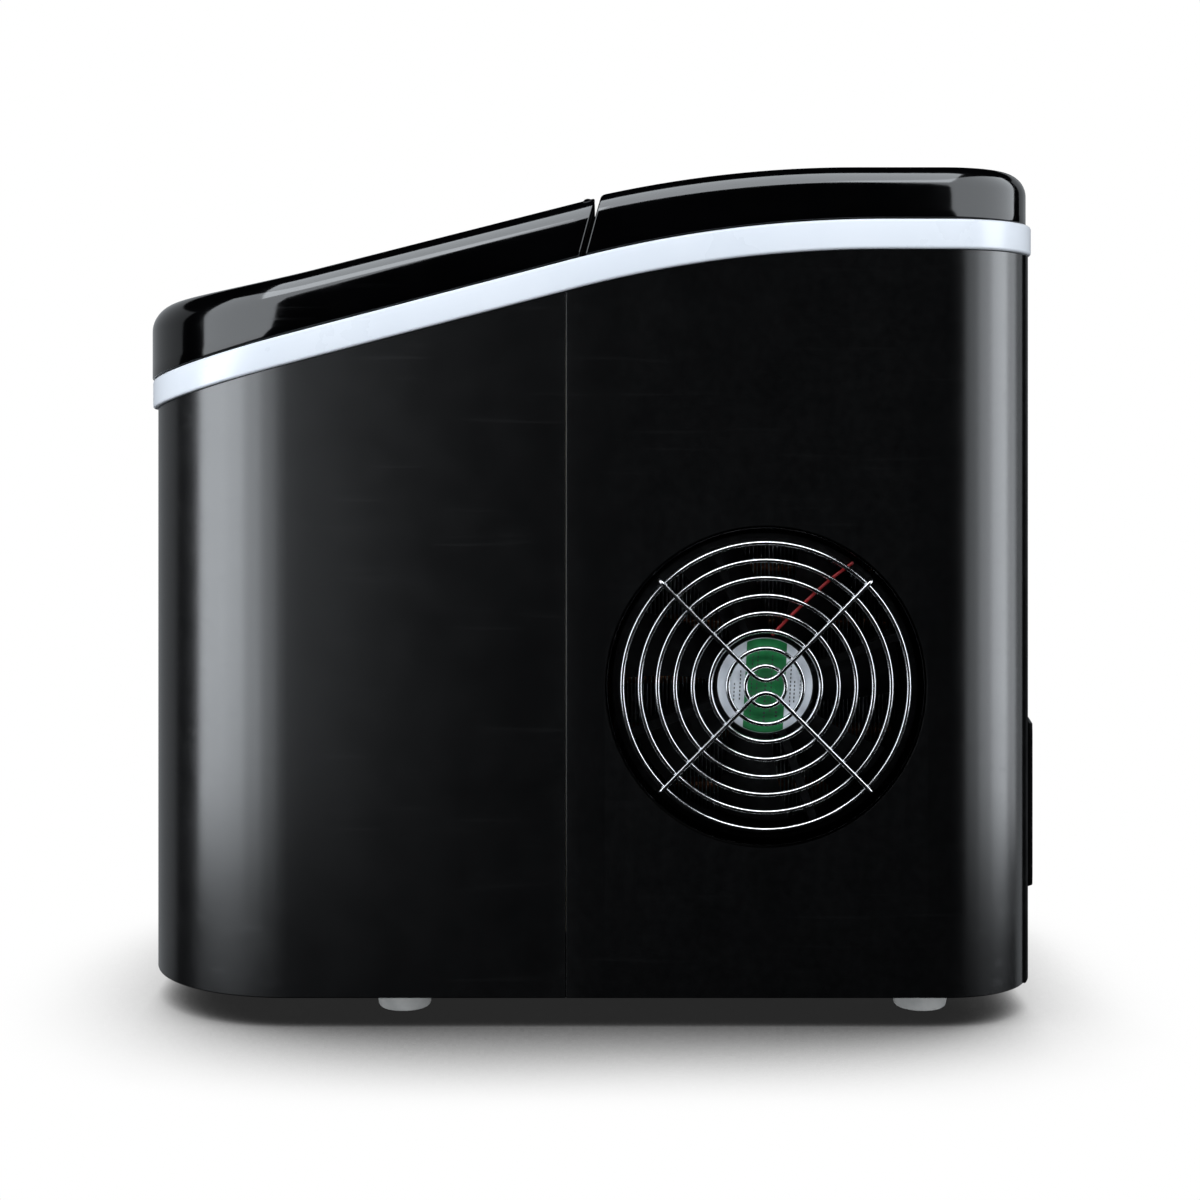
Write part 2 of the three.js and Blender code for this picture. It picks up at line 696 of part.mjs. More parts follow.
const PIPE_X = 40;
const PIPE_Z = 252;
const HOSE_X = 20;
const HOSE_Z = 236;
const wallHoles = join(
  rodY(PIPE_X, PIPE_Z, 4, -30, 20, 12),
  rodY(-PIPE_X, PIPE_Z, 5, -30, 20, 12),
  rodY(HOSE_X, HOSE_Z, 6, -30, 20, 12),
);

function innerLiner() {
  const top = above(bandBottom, 1.5);
  const outside = chamberBlock(LINER_INSET, LINER_BACK_Y, LINER_FLOOR_Z, top);
  const inside = chamberBlock(
    LINER_INSET + LINER_WALL,
    LINER_BACK_Y - LINER_WALL,
    LINER_FLOOR_Z + LINER_WALL,
    above(top, 5),
  );
  const rests = [-1, 1].map((side) => {
    const [x0, x1] = [94 * side, 104.5 * side].sort((a, b) => a - b);
    return box(x0, x1, -118, -94, BASKET.bottom - 6, BASKET.bottom - GAP);
  });
  const drain = rodX(DRAIN.y, DRAIN.z, 5, -110, -100, 12);
  return cut(join(cut(outside, inside), ...rests), wallHoles, drain);
}
place("inner_liner", "paleLiner", innerLiner());

function linerInsulation() {
  const top = above(bandBottom, -1);
  const outside = chamberBlock(3, FOAM_BACK_Y, LINER_FLOOR_Z - 12, top);
  const inside = chamberBlock(LINER_INSET - 0.4, LINER_BACK_Y + 0.4, LINER_FLOOR_Z - 0.4, above(top, 5));
  const drain = join(
    rodX(DRAIN.y, DRAIN.z, DRAIN.pipe + 0.5, -113, -100, 16),
    rodX(DRAIN.y, DRAIN.z, DRAIN.recess, -130, -111.5, 24),
  );
  return cut(outside, inside, wallHoles, drain);
}
place("liner_insulation", "foam", linerInsulation());

function iceBasket() {
  const outside = chamberBlock(BASKET.inset, BASKET.rear, BASKET.bottom, level(BASKET.top));
  const inside = chamberBlock(
    BASKET.inset + BASKET.wall,
    BASKET.rear - BASKET.wall,
    BASKET.bottom + BASKET.wall,
    level(BASKET.top + 5),
  );
  const drips = [-60, -30, 0, 30, 60].map((x) => box(x - 9, x + 9, -142, -98, 80, 100));
  const scoopDip = box(-40, 40, BASKET.rear - 5, BASKET.rear + 5, BASKET.top - 26, BASKET.top + 10);
  return cut(outside, inside, ...drips, scoopDip);
}
place("ice_basket", "basketGrey", iceBasket());

// A ring sector in the YZ plane about the tray axis. Angles turn from straight down to the rear.
function sector(inner, outer, from, to, steps) {
  const start = degrees(from - 90);
  const end = degrees(to - 90);
  return new THREE.Shape([
    ...arcPoints(TRAY.y, TRAY.z, outer, start, end, steps),
    ...arcPoints(TRAY.y, TRAY.z, inner, end, start, steps),
  ]);
}

function waterTray() {
  const trough = sideSolid(
    sector(TRAY.inner, TRAY.outer, -TRAY.spread, TRAY.spread, 14),
    -TRAY.half - 0.5,
    TRAY.half + 0.5,
  );
  const ends = [-1, 1].map((side) => {
    const [x0, x1] = [TRAY.half * side, (TRAY.half + TRAY.plate) * side].sort((a, b) => a - b);
    const [p0, p1] = [TRAY.half * side, 72 * side].sort((a, b) => a - b);
    const fan = sideSolid(sector(4, TRAY.outer, -TRAY.spread, TRAY.spread, 14), x0, x1);
    const hub = rodX(TRAY.y, TRAY.z, 5.5, x0, x1, 16);
    return join(fan, hub, rodX(TRAY.y, TRAY.z, 2.5, p0, p1, 12));
  });
  return join(trough, ...ends);
}
place("water_tray", "paleLiner", waterTray());

function iceShovel() {
  const blade = sideSolid(
    sector(SHOVEL.inner, SHOVEL.outer, SHOVEL.from, SHOVEL.to, 6),
    -SHOVEL.half,
    SHOVEL.half,
  );
  const arms = [-1, 1].map((side) => {
    const [x0, x1] = [65 * side, SHOVEL.half * side].sort((a, b) => a - b);
    const arm = sideSolid(sector(4, SHOVEL.outer, SHOVEL.from + 4, SHOVEL.to - 4, 4), x0, x1);
    const hub = rodX(TRAY.y, TRAY.z, 6, x0, x1, 16);
    return cut(join(arm, hub), rodX(TRAY.y, TRAY.z, 2.9, x0 - 1, x1 + 1, 12));
  });
  return join(blade, ...arms);
}
place("ice_shovel", "paleLiner", iceShovel());

const HEADER = { half: 52, depth: 15, bottom: 203, top: 211 };
const FINGER = { radius: 4.5, length: 29, spacing: 28, halfGap: 9 };

function evaporator() {
  const header = box(
    -HEADER.half,
    HEADER.half,
    TRAY.y - HEADER.depth,
    TRAY.y + HEADER.depth,
    HEADER.bottom,
    HEADER.top,
  );
  const fingers = [];
  const tip = HEADER.bottom - FINGER.length;
  const profile = [
    [0, tip],
    [3.2, tip + 1.4],
    [FINGER.radius, tip + FINGER.radius],
    [FINGER.radius, HEADER.bottom + 1],
    [0, HEADER.bottom + 1],
  ];
  for (const place of [-1.5, -0.5, 0.5, 1.5]) {
    for (const y of [-FINGER.halfGap, FINGER.halfGap]) {
      fingers.push(turned(profile, place * FINGER.spacing, TRAY.y + y, 12));
    }
  }
  return join(header, ...fingers);
}
place("evaporator", "aluminium", evaporator());

// The bracket hangs the evaporator from the liner wall and carries the tray pivots at its arms.
function evaporatorBracket() {
  const shelfZ = 246;
  const shelf = box(-70, 70, TRAY.y - 7, LINER_BACK_Y - LINER_WALL - GAP, shelfZ - 2, shelfZ);
  const hangers = [-26, 26].map((x) =>
    box(x - 5, x + 5, TRAY.y - 6, TRAY.y + 6, HEADER.top + GAP, shelfZ - 1),
  );
  const arms = [-1, 1].map((side) => {
    const [x0, x1] = [68 * side, 70 * side].sort((a, b) => a - b);
    const strip = box(x0, x1, TRAY.y - 6, TRAY.y + 6, TRAY.z, shelfZ - 1);
    const end = rodX(TRAY.y, TRAY.z, 6, x0, x1, 16);
    return cut(join(strip, end), rodX(TRAY.y, TRAY.z, 2.9, x0 - 1, x1 + 1, 12));
  });
  const pipeHoles = [-1, 1].map((side) => rodZ(PIPE_X * side, TRAY.y + 3.5, 6, 240, 250, 12));
  return cut(join(shelf, ...hangers, ...arms), ...pipeHoles);
}
place("evaporator_bracket", "steel", evaporatorBracket());

function trayMotor() {
  const body = box(-101, -79, TRAY.y - 16, TRAY.y + 16, TRAY.z - 20, TRAY.z + 16);
  const shaft = rodX(TRAY.y, TRAY.z, 4, -80, -72.5, 12);
  return join(body, shaft);
}
place("tray_motor", "steel", trayMotor());

const floatFloor = LINER_FLOOR_Z + LINER_WALL;
const floatProfile = [
  [0, floatFloor + GAP],
  [6, floatFloor + GAP],
  [6, FLOAT.bottom - 0.4],
  [3, FLOAT.bottom - 0.4],
  [3, 82],
  [6, 82],
  [6, 85],
  [0, 85],
];
place("float_stem", "paleLiner", turned(floatProfile, FLOAT.x, FLOAT.y, 16));
const floatRing = cut(
  rodZ(FLOAT.x, FLOAT.y, FLOAT.radius, FLOAT.bottom, FLOAT.bottom + FLOAT.height, 20),
  rodZ(FLOAT.x, FLOAT.y, 3.7, FLOAT.bottom - 1, FLOAT.bottom + FLOAT.height + 1, 16),
);
place("float_ring", "whiteTrim", floatRing);

const drainPipe = cut(
  rodX(DRAIN.y, DRAIN.z, DRAIN.pipe, -111.2, -106.1, 16),
  rodX(DRAIN.y, DRAIN.z, DRAIN.bore, -112, -105, 16),
);
place("drain_pipe", "mattBlack", drainPipe);

function drainCap() {
  const disc = rodX(DRAIN.y, DRAIN.z, 13.5, -115.4, -112.4, 24);
  const grip = box(-118.4, -115, DRAIN.y - 11, DRAIN.y + 11, DRAIN.z - 2.2, DRAIN.z + 2.2);
  const plug = rodX(DRAIN.y, DRAIN.z, 4.8, -113, -107, 12);
  return join(disc, grip, plug);
}
place("drain_cap", "mattBlack", drainCap());

// ---------------------------------------------------------------- machinery behind the chamber

const CAN = { x: -42, y: 92, radius: 52, bottom: 24, top: 148 };

function compressor() {
  const { radius, bottom, top } = CAN;
  const profile = [
    [0, bottom],
    [radius * 0.6, bottom + 1.5],
    [radius * 0.92, bottom + 10],
    [radius, bottom + 22],
    [radius, bottom + 58],
    [radius + 2, bottom + 59],
    [radius + 2, bottom + 63],
    [radius, bottom + 64],
    [radius, top - 26],
    [radius * 0.92, top - 12],
    [radius * 0.6, top - 2],
    [0, top],
  ];
  return turned(profile, CAN.x, CAN.y, 20);
}
place("compressor", "mattBlack", compressor());

function compressorMount() {
  const plate = box(CAN.x - 58, CAN.x + 58, CAN.y - 50, CAN.y + 50, 19, 21.5);
  const legs = [];
  for (const x of [-50, 50]) {
    for (const y of [-42, 42]) legs.push(rodZ(CAN.x + x, CAN.y + y, 7, FOOT_HEIGHT + 2 + GAP, 20, 14));
  }
  return join(plate, ...legs);
}
place("compressor_mount", "steel", compressorMount());

place("compressor_terminal_cover", "mattBlack", box(-112, CAN.x - CAN.radius - 2.5, 74, 110, 68, 112));

function condenser() {
  const finPitch = 5;
  const finCount = 24;
  const finThick = 1.2;
  const [front, plate, face] = [12, 66, 84];
  const comb = new THREE.Shape();
  comb.moveTo(plate, front);
  for (let i = 0; i < finCount; i += 1) {
    const y = front + i * finPitch;
    comb.lineTo(face, y);
    comb.lineTo(face, y + finThick);
    if (i < finCount - 1) {
      comb.lineTo(plate + 2, y + finThick);
      comb.lineTo(plate + 2, y + finPitch);
    }
  }
  comb.lineTo(plate, front + (finCount - 1) * finPitch + finThick);
  const fins = prism(comb, 70, 192);
  const last = front + (finCount - 1) * finPitch;
  const rows = [86, 108, 130, 152, 174].flatMap((z) => [
    rodY(76, z, 3.2, front - 5, front + finThick / 2, 10),
    rodY(76, z, 3.2, last + finThick / 2, last + 6, 10),
  ]);
  return join(fins, ...rows);
}
place("condenser", "aluminium", condenser());

// ---------------------------------------------------------------- side fan

const fanBack = FAN_FACE_X - FAN_DEPTH;

function fanFrame() {
  const outer = rodX(FAN_Y, FAN_Z, 59.4, fanBack, FAN_FACE_X, 40);
  const bore = rodX(FAN_Y, FAN_Z, 56, fanBack - 1, FAN_FACE_X + 1, 40);
  const plate = rodX(FAN_Y, FAN_Z, FAN_HUB_RADIUS + 0.5, FAN_FACE_X - 2.5, FAN_FACE_X, 28);
  const struts = [20, 110, 200, 290].map((angle) => {
    const arm = new THREE.BoxGeometry(3.5, 40, 3.5);
    arm.translate(FAN_FACE_X - 2, 37.5, 0);
    arm.rotateX(degrees(angle));
    arm.translate(0, FAN_Y, FAN_Z);
    return solid(arm);
  });
  return join(cut(outer, bore), plate, ...struts);
}
place("fan_frame", "mattBlack", fanFrame());

function fanRotor() {
  const blades = 7;
  const hub = rodX(FAN_Y, FAN_Z, FAN_HUB_RADIUS, fanBack + 3, FAN_FACE_X - 4.5, 28);
  const vanes = Array.from({ length: blades }, (_, i) => {
    const vane = new THREE.BoxGeometry(1.8, 36, 22);
    vane.rotateY(degrees(48));
    vane.translate(fanBack + 11, 35, 0);
    vane.rotateX((2 * Math.PI * i) / blades);
    vane.translate(0, FAN_Y, FAN_Z);
    return solid(vane);
  });
  return join(hub, ...vanes);
}
place("fan_rotor", "mattBlack", fanRotor());

place(
  "fan_motor_label",
  "label",
  rodX(FAN_Y, FAN_Z, FAN_HUB_RADIUS - 0.3, FAN_FACE_X + 0.2, FAN_FACE_X + 0.6, 28),
);

const leadPoints = [
  [FAN_FACE_X + 1.4, FAN_Y + 2.5, FAN_Z + 19.5],
  [FAN_FACE_X + 1.6, FAN_Y + 12, FAN_Z + 29],
  [FAN_FACE_X + 1.4, FAN_Y + 24, FAN_Z + 40],
  [FAN_FACE_X + 0.9, FAN_Y + 34, FAN_Z + 47.5],
];
place("fan_lead", "redLead", tube(leadPoints, 0.65, 8, 10));

// Eight wire rings held by two bent wires whose ends turn in to the fan frame.
function fanGuard() {
  const half = GUARD_WIRE / 2;
  const rings = Array.from({ length: GUARD_RINGS }, (_, i) => {
    const radius = GUARD_INNER_RADIUS + i * GUARD_PITCH;
    const sides = 14 + 2 * i;
    const section = [
      new THREE.Vector2(radius - half, 0),
      new THREE.Vector2(radius, -half),
      new THREE.Vector2(radius + half, 0),
      new THREE.Vector2(radius, half),
      new THREE.Vector2(radius - half, 0),
    ];
    const ring = new THREE.LatheGeometry(section, sides);
    ring.rotateZ(-Math.PI / 2);
    ring.translate(GUARD_X, FAN_Y, FAN_Z);
    return solid(ring);
  });
  const outerX = GUARD_X + 1.5;
  const reach = 57.5 / Math.SQRT2;
  const wires = [-1, 1].map((side) => {
    const points = [];
    for (const end of [-1, 1]) {
      const leg = [
        [FAN_FACE_X + 1.3, FAN_Y + end * reach, FAN_Z + side * reach],
        [outerX, FAN_Y + end * reach, FAN_Z + side * reach],
        [outerX, FAN_Y + end * 6, FAN_Z + side * 8],
      ];
      points.push(...(end < 0 ? leg : leg.reverse()));
      if (end < 0) points.push([outerX, FAN_Y, FAN_Z + side * 3]);
    }
    return wireAlong(
      points.map((point) => new THREE.Vector3(...point)),
      half,
    );
  });
  return join(...rings, ...wires);
}

// Straight square wire pieces between corners, joined by small balls.
function wireAlong(corners, half) {
  const pieces = [];
  corners.forEach((corner, i) => {
    const ball = new THREE.IcosahedronGeometry(half * 1.05, 0);
    ball.translate(corner.x, corner.y, corner.z);
    pieces.push(solid(ball));
    if (i === 0) return;
    const from = corners[i - 1];
    const span = corner.clone().sub(from);
    const bar = new THREE.CylinderGeometry(half, half, span.length(), 4);
    const turn = new THREE.Quaternion().setFromUnitVectors(new THREE.Vector3(0, 1, 0), span.normalize());
    bar.applyQuaternion(turn);
    const middle = corner.clone().add(from).multiplyScalar(0.5);
    bar.translate(middle.x, middle.y, middle.z);
    pieces.push(solid(bar));
  });
  return join(...pieces);
}
place("fan_guard", "chromeWire", fanGuard());

// ---------------------------------------------------------------- refrigeration circuit and water feed

const DRIER = { x: 40, y: 152, radius: 9 };
const drierProfile = [
  [0, 96],
  [3, 97],
  [DRIER.radius, 104],
  [DRIER.radius, 150],
  [3, 158],
  [0, 159],
];
place("filter_drier", "copper", turned(drierProfile, DRIER.x, DRIER.y, 16));

const valveBody = box(14, 38, 60, 84, 206, 232);
place("hot_gas_valve", "steel", join(valveBody, rodY(26, 212, 5, 50, 94, 12)));

const dischargeRoute = [
  [-20, 100, 148.4],
  [-18, 106, 166],
  [0, 126, 178],
  [30, 139, 182],
  [62, 146, 180],
  [74, 143, 177],
  [76, 134.3, 174],
];
place("discharge_tube", "copper", tube(dischargeRoute, 2.5, 6, 18));

const suctionRoute = [
  [-58, 88, 148.5],
  [-58, 84, 175],
  [-54, 60, 215],
  [-44, 24, 246],
  [-PIPE_X, 0, PIPE_Z],
  [-PIPE_X, TRAY.y + 22, PIPE_Z + 1],
  [-PIPE_X, TRAY.y + 7, PIPE_Z - 3],
  [-PIPE_X, TRAY.y + 2, PIPE_Z - 14],
  [-PIPE_X, TRAY.y + 2, HEADER.top + GAP],
];
place("suction_tube", "copper", tube(suctionRoute, 3, 6, 24));

const capillaryRoute = [
  [DRIER.x, DRIER.y, 159.5],
  [DRIER.x, DRIER.y, 178],
  [41, 144, 206],
  [44, 90, 240],
  [42, 30, 252],
  [PIPE_X, 0, PIPE_Z],
  [PIPE_X, TRAY.y + 22, PIPE_Z + 1],
  [PIPE_X, TRAY.y + 7, PIPE_Z - 3],
  [PIPE_X, TRAY.y + 2, PIPE_Z - 14],
  [PIPE_X, TRAY.y + 2, HEADER.top + GAP],
];
place("capillary_tube", "copper", tube(capillaryRoute, 1.6, 6, 26));

const PUMP = { x: 34, y: 24, radius: 17, top: 60, spout: 4.5 };

function waterPump() {
  const body = rodZ(PUMP.x, PUMP.y, PUMP.radius, FOOT_HEIGHT + 2 + GAP, PUMP.top, 20);
  const spout = rodZ(PUMP.x, PUMP.y, PUMP.spout, PUMP.top - 1, PUMP.top + 10, 12);
  return join(body, spout);
}
place("water_pump", "mattBlack", waterPump());

const hoseRoute = [
  [PUMP.x, PUMP.y, PUMP.top + 10.4],
  [34, 23, 110],
  [32, 20, 180],
  [26, 15, 226],
  [HOSE_X, 4, HOSE_Z],
  [HOSE_X, -14, HOSE_Z],
  [HOSE_X, -20, HOSE_Z - 2.5],
];
place("water_hose", "clearHose", tube(hoseRoute, 4, 8, 18));

function powerBoard() {
  const sheet = box(-100, -10, 30, 140, 250, 251.6);
  const transformer = box(-92, -58, 40, 72, 251, 276);
  const relay = box(-40, -20, 44, 62, 251, 267);
  const smoother = rodZ(-44, 110, 8, 251, 272, 14);
  const plugs = [-78, -60].map((x) => box(x, x + 12, 124, 134, 251, 262));
  const posts = [[-94, 36], [-94, 134], [-16, 134]].map(([x, y]) =>
    rodZ(x, y, 3, 251, bandBottom(y) + 1.2, 8),
  );
  return join(sheet, transformer, relay, smoother, ...plugs, ...posts);
}
place("power_board", "board", powerBoard());

export default iceMaker;
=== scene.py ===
import math

import bmesh
import bpy
import numpy as np
from mathutils import Matrix, Vector


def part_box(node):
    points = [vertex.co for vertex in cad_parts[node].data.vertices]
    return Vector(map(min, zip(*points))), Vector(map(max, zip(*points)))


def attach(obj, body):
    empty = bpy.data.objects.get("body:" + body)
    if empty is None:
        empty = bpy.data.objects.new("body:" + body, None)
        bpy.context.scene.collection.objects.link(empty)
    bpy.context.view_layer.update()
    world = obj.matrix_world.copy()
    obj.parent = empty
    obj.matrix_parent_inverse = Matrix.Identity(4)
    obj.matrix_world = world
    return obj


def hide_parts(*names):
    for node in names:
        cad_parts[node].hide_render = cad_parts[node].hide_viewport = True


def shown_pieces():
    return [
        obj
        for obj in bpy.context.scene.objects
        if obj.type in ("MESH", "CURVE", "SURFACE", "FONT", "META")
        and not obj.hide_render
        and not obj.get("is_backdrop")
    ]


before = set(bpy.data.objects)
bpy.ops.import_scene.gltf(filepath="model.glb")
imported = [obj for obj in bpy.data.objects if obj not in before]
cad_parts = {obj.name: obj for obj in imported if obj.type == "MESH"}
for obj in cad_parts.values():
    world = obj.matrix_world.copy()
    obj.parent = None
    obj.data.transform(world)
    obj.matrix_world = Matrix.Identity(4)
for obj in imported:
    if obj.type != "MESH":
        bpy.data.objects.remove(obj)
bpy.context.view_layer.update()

MM = 0.001

# ---------------------------------------------------------------- measures of the cabinet

shell_low, shell_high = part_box("front_shell")
band_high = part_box("trim_band")[1]
lid_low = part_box("front_lid")[0]
cover_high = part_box("rear_cover")[1]
right_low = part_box("right_side_panel")[0]

HALF_WIDTH = shell_high.x
HALF_DEPTH = -shell_low.y
FLOOR_GAP = shell_low.z
SEAM_Y = (shell_high.y + right_low.y) / 2
# The plan outline: corner radii, and the slight bow of the front
FRONT_RADIUS = 62 * MM
REAR_RADIUS = 37 * MM
BOW_RADIUS = 4000 * MM
SHEET = 1.2 * MM
# The trim band: level at the rear, then bending into a straight slope down to the front
BAND_PROUD = band_high.x - HALF_WIDTH
BAND_INSET = 2 * MM
BAND_HEIGHT = 11.4 * MM
BAND_SLOPE = math.radians(14.7)
BAND_BEND_RADIUS = 472 * MM
BAND_LEVEL_Y = 115 * MM
BAND_LEVEL_Z = band_high.z - BAND_HEIGHT
# The crown: the lid slopes down to the front and levels out at its nose, and the cover rises on an
# arc to its level rear
LID_NOSE = -lid_low.y - HALF_DEPTH
LID_MID_Y = -33 * MM
LID_MID_Z = 310.2 * MM
LID_SLOPE = 0.254
LID_CURL_Y = -105 * MM
LID_CURL = 1.38
COVER_TOP_Z = cover_high.z
COVER_LEVEL_Y = 105 * MM
COVER_RADIUS = 450 * MM
CROWN_WALL = 2.2 * MM
CROWN_ROUND = 11 * MM
COVER_ROUND = 9 * MM
LID_LIFT = 0.6 * MM
# The split between lid and cover: a leaning cut through SPLIT_TOP, which is a (y, z) point
SPLIT_TOP = Vector((5.5 * MM, 320.5 * MM))
SPLIT_LEAN = math.radians(15)
SPLIT_GAP = 2 * MM

# Centres of the corner arcs and of the bow
FRONT_CENTRE_X = HALF_WIDTH - FRONT_RADIUS
BOW_CENTRE_Y = BOW_RADIUS - HALF_DEPTH
FRONT_CENTRE_Y = BOW_CENTRE_Y - math.sqrt((BOW_RADIUS - FRONT_RADIUS) ** 2 - FRONT_CENTRE_X ** 2)
BOW_HALF_ANGLE = math.asin(FRONT_CENTRE_X / (BOW_RADIUS - FRONT_RADIUS))
REAR_CENTRE_X = HALF_WIDTH - REAR_RADIUS
REAR_CENTRE_Y = HALF_DEPTH - REAR_RADIUS


def band_bottom(y):
    """Height of the trim band's lower edge at depth y."""
    bend_y = BAND_LEVEL_Y - BAND_BEND_RADIUS * math.sin(BAND_SLOPE)
    bend_z = BAND_LEVEL_Z - BAND_BEND_RADIUS * (1 - math.cos(BAND_SLOPE))
    if y < bend_y:
        return bend_z + (y - bend_y) * math.tan(BAND_SLOPE)
    short = max(0.0, BAND_LEVEL_Y - y)
    return BAND_LEVEL_Z - BAND_BEND_RADIUS + math.sqrt(BAND_BEND_RADIUS ** 2 - short ** 2)


def band_top(y):
    return band_bottom(y) + BAND_HEIGHT


def lid_crown(y):
    """Height of the lid's top at depth y."""
    curled = max(0.0, LID_CURL_Y - y)
    return LID_MID_Z + (y - LID_MID_Y) * LID_SLOPE + LID_CURL * curled ** 2


def cover_crown(y):
    """Height of the rear cover's top at depth y."""
    short = max(0.0, COVER_LEVEL_Y - y)
    return COVER_TOP_Z - short ** 2 / (2 * COVER_RADIUS)


def split_y(z, offset):
    """Depth of the leaning split between lid and cover at height z, moved back by offset."""
    return SPLIT_TOP.x + (z - SPLIT_TOP.y) * math.tan(SPLIT_LEAN) + offset / math.cos(SPLIT_LEAN)


# ---------------------------------------------------------------- mesh helpers

def new_object(name, mesh):
    made = bpy.data.objects.new(name, mesh)
    bpy.context.scene.collection.objects.link(made)
    return made


def shade(mesh, angle=32):
    """Smooth shading with edges sharper than the angle kept crisp."""
    work = bmesh.new()
    work.from_mesh(mesh)
    limit = math.radians(angle)
    for face in work.faces:
        face.smooth = True
    for edge in work.edges:
        if len(edge.link_faces) == 2:
            edge.smooth = edge.calc_face_angle(0) < limit
    work.to_mesh(mesh)
    work.free()


def mesh_object(name, points, faces, angle=32):
    """An object from points and faces, its faces turned outwards."""
    mesh = bpy.data.meshes.new(name)
    mesh.from_pydata([tuple(p) for p in points], [], faces)
    work = bmesh.new()
    work.from_mesh(mesh)
    bmesh.ops.remove_doubles(work, verts=work.verts, dist=1e-7)
    bmesh.ops.recalc_face_normals(work, faces=work.faces)
    work.to_mesh(mesh)
    work.free()
    shade(mesh, angle)
    return new_object(name, mesh)


def bridge(rings, closed=False):
    """Points and faces of a surface through rings that all hold the same number of points.

    A closed surface joins its last ring to its first. Any other is capped at both ends.
    """
    count = len(rings[0])
    points = [p for ring in rings for p in ring]
    faces = []
    for k in range(len(rings) if closed else len(rings) - 1):
        for j in range(count):
            a = k * count + j
            b = k * count + (j + 1) % count
            c = ((k + 1) % len(rings)) * count
            faces.append((a, b, c + (j + 1) % count, c + j))
    if not closed:
        faces.append(tuple(range(count))[::-1])
        faces.append(tuple((len(rings) - 1) * count + j for j in range(count)))
    return points, faces


def merge(name, parts, angle=32):
    """One object from several (points, faces) lists."""
    points, faces = [], []
    for more_points, more_faces in parts:
        start = len(points)
        points += list(more_points)
        faces += [tuple(start + i for i in face) for face in more_faces]
    return mesh_object(name, points, faces, angle)


def join_objects(first, *others):
    """Moves the meshes of the others into the first object, with their materials."""
    bpy.ops.object.select_all(action="DESELECT")
    for other in others:
        other.select_set(True)
    first.select_set(True)
    bpy.context.view_layer.objects.active = first
    bpy.ops.object.join()
    return first


def apply_modifiers(made):
    """Turns an object's modifiers into its mesh."""
    evaluated = made.evaluated_get(bpy.context.evaluated_depsgraph_get())
    mesh = bpy.data.meshes.new_from_object(evaluated)
    old = made.data
    made.modifiers.clear()
    made.data = mesh
    bpy.data.meshes.remove(old)


def carve(made, cutters, angle=32):
    """Cuts the cutters out of an object and removes them."""
    for cutter in cutters:
        step = made.modifiers.new("cut", "BOOLEAN")
        step.operation = "DIFFERENCE"
        step.solver = "EXACT"
        step.object = cutter
    apply_modifiers(made)
    for cutter in cutters:
        bpy.data.objects.remove(cutter)
    shade(made.data, angle)
    return made


def soften(made, width, segments=2, angle=35):
    """Rounds an object's crisp edges and keeps its flat faces evenly shaded."""
    step = made.modifiers.new("edge", "BEVEL")
    step.width = width
    step.segments = segments
    step.limit_method = "ANGLE"
    step.angle_limit = math.radians(angle)
    apply_modifiers(made)
    shade(made.data, angle)
    flatten = made.modifiers.new("flatten", "WEIGHTED_NORMAL")
    flatten.keep_sharp = True
    apply_modifiers(made)
    return made


def block(x0, x1, y0, y1, z0, z1):
    """Points and faces of a box."""
    points = [(x, y, z) for z in (z0, z1) for x, y in ((x0, y0), (x1, y0), (x1, y1), (x0, y1))]
    faces = [(3, 2, 1, 0), (4, 5, 6, 7), (0, 1, 5, 4), (1, 2, 6, 5), (2, 3, 7, 6), (3, 0, 4, 7)]
    return points, faces


def turned(profile, axis, centre, sides=64, closed=False):
    """A turned surface from (radius, along) pairs about an axis "x", "y" or "z" through centre."""
    rings = []
    for radius, along in profile:
        ring = []
        for i in range(sides):
            angle = 2 * math.pi * i / sides
            u, v = radius * math.cos(angle), radius * math.sin(angle)
            offset = {"x": (along, u, v), "y": (v, along, u), "z": (u, v, along)}[axis]
            ring.append(tuple(c + o for c, o in zip(centre, offset)))
        rings.append(ring)
    return bridge(rings, closed)


def in_mm(profile, start=0.0, side=1):
    """(radius, along) pairs in millimetres as metres, along counted from start towards a side."""
    return [(radius * MM, start + side * along * MM) for radius, along in profile]


def centre_of(low, high):
    return [(a + b) / 2 for a, b in zip(low, high)]


def tube(path, radius, sides=12):
    """A round tube along a list of points, closed at both ends."""
    path = [Vector(p) for p in path]
    rings = []
    tangent = (path[1] - path[0]).normalized()
    side = tangent.orthogonal().normalized()
    for i, point in enumerate(path):
        ahead = path[min(i + 1, len(path) - 1)] - path[max(i - 1, 0)]
        turn = tangent.rotation_difference(ahead.normalized())
        side = (turn @ side).normalized()
        tangent = ahead.normalized()
        up = tangent.cross(side)
        rings.append([
            point + radius * (math.cos(a) * side + math.sin(a) * up)
            for a in (2 * math.pi * j / sides for j in range(sides))
        ])
    return bridge(rings)


def smooth_path(points, per_span=10):
    """A Catmull-Rom curve through the points."""
    points = [Vector(p) for p in points]
    padded = [2 * points[0] - points[1], *points, 2 * points[-1] - points[-2]]
    path = []
    for i in range(1, len(padded) - 2):
        p0, p1, p2, p3 = padded[i - 1:i + 3]
        for k in range(per_span):
            t = k / per_span
            path.append(0.5 * (
                2 * p1 + (p2 - p0) * t
                + (2 * p0 - 5 * p1 + 4 * p2 - p3) * t ** 2
                + (3 * p1 - p0 - 3 * p2 + p3) * t ** 3
            ))
    path.append(points[-1])
    return path


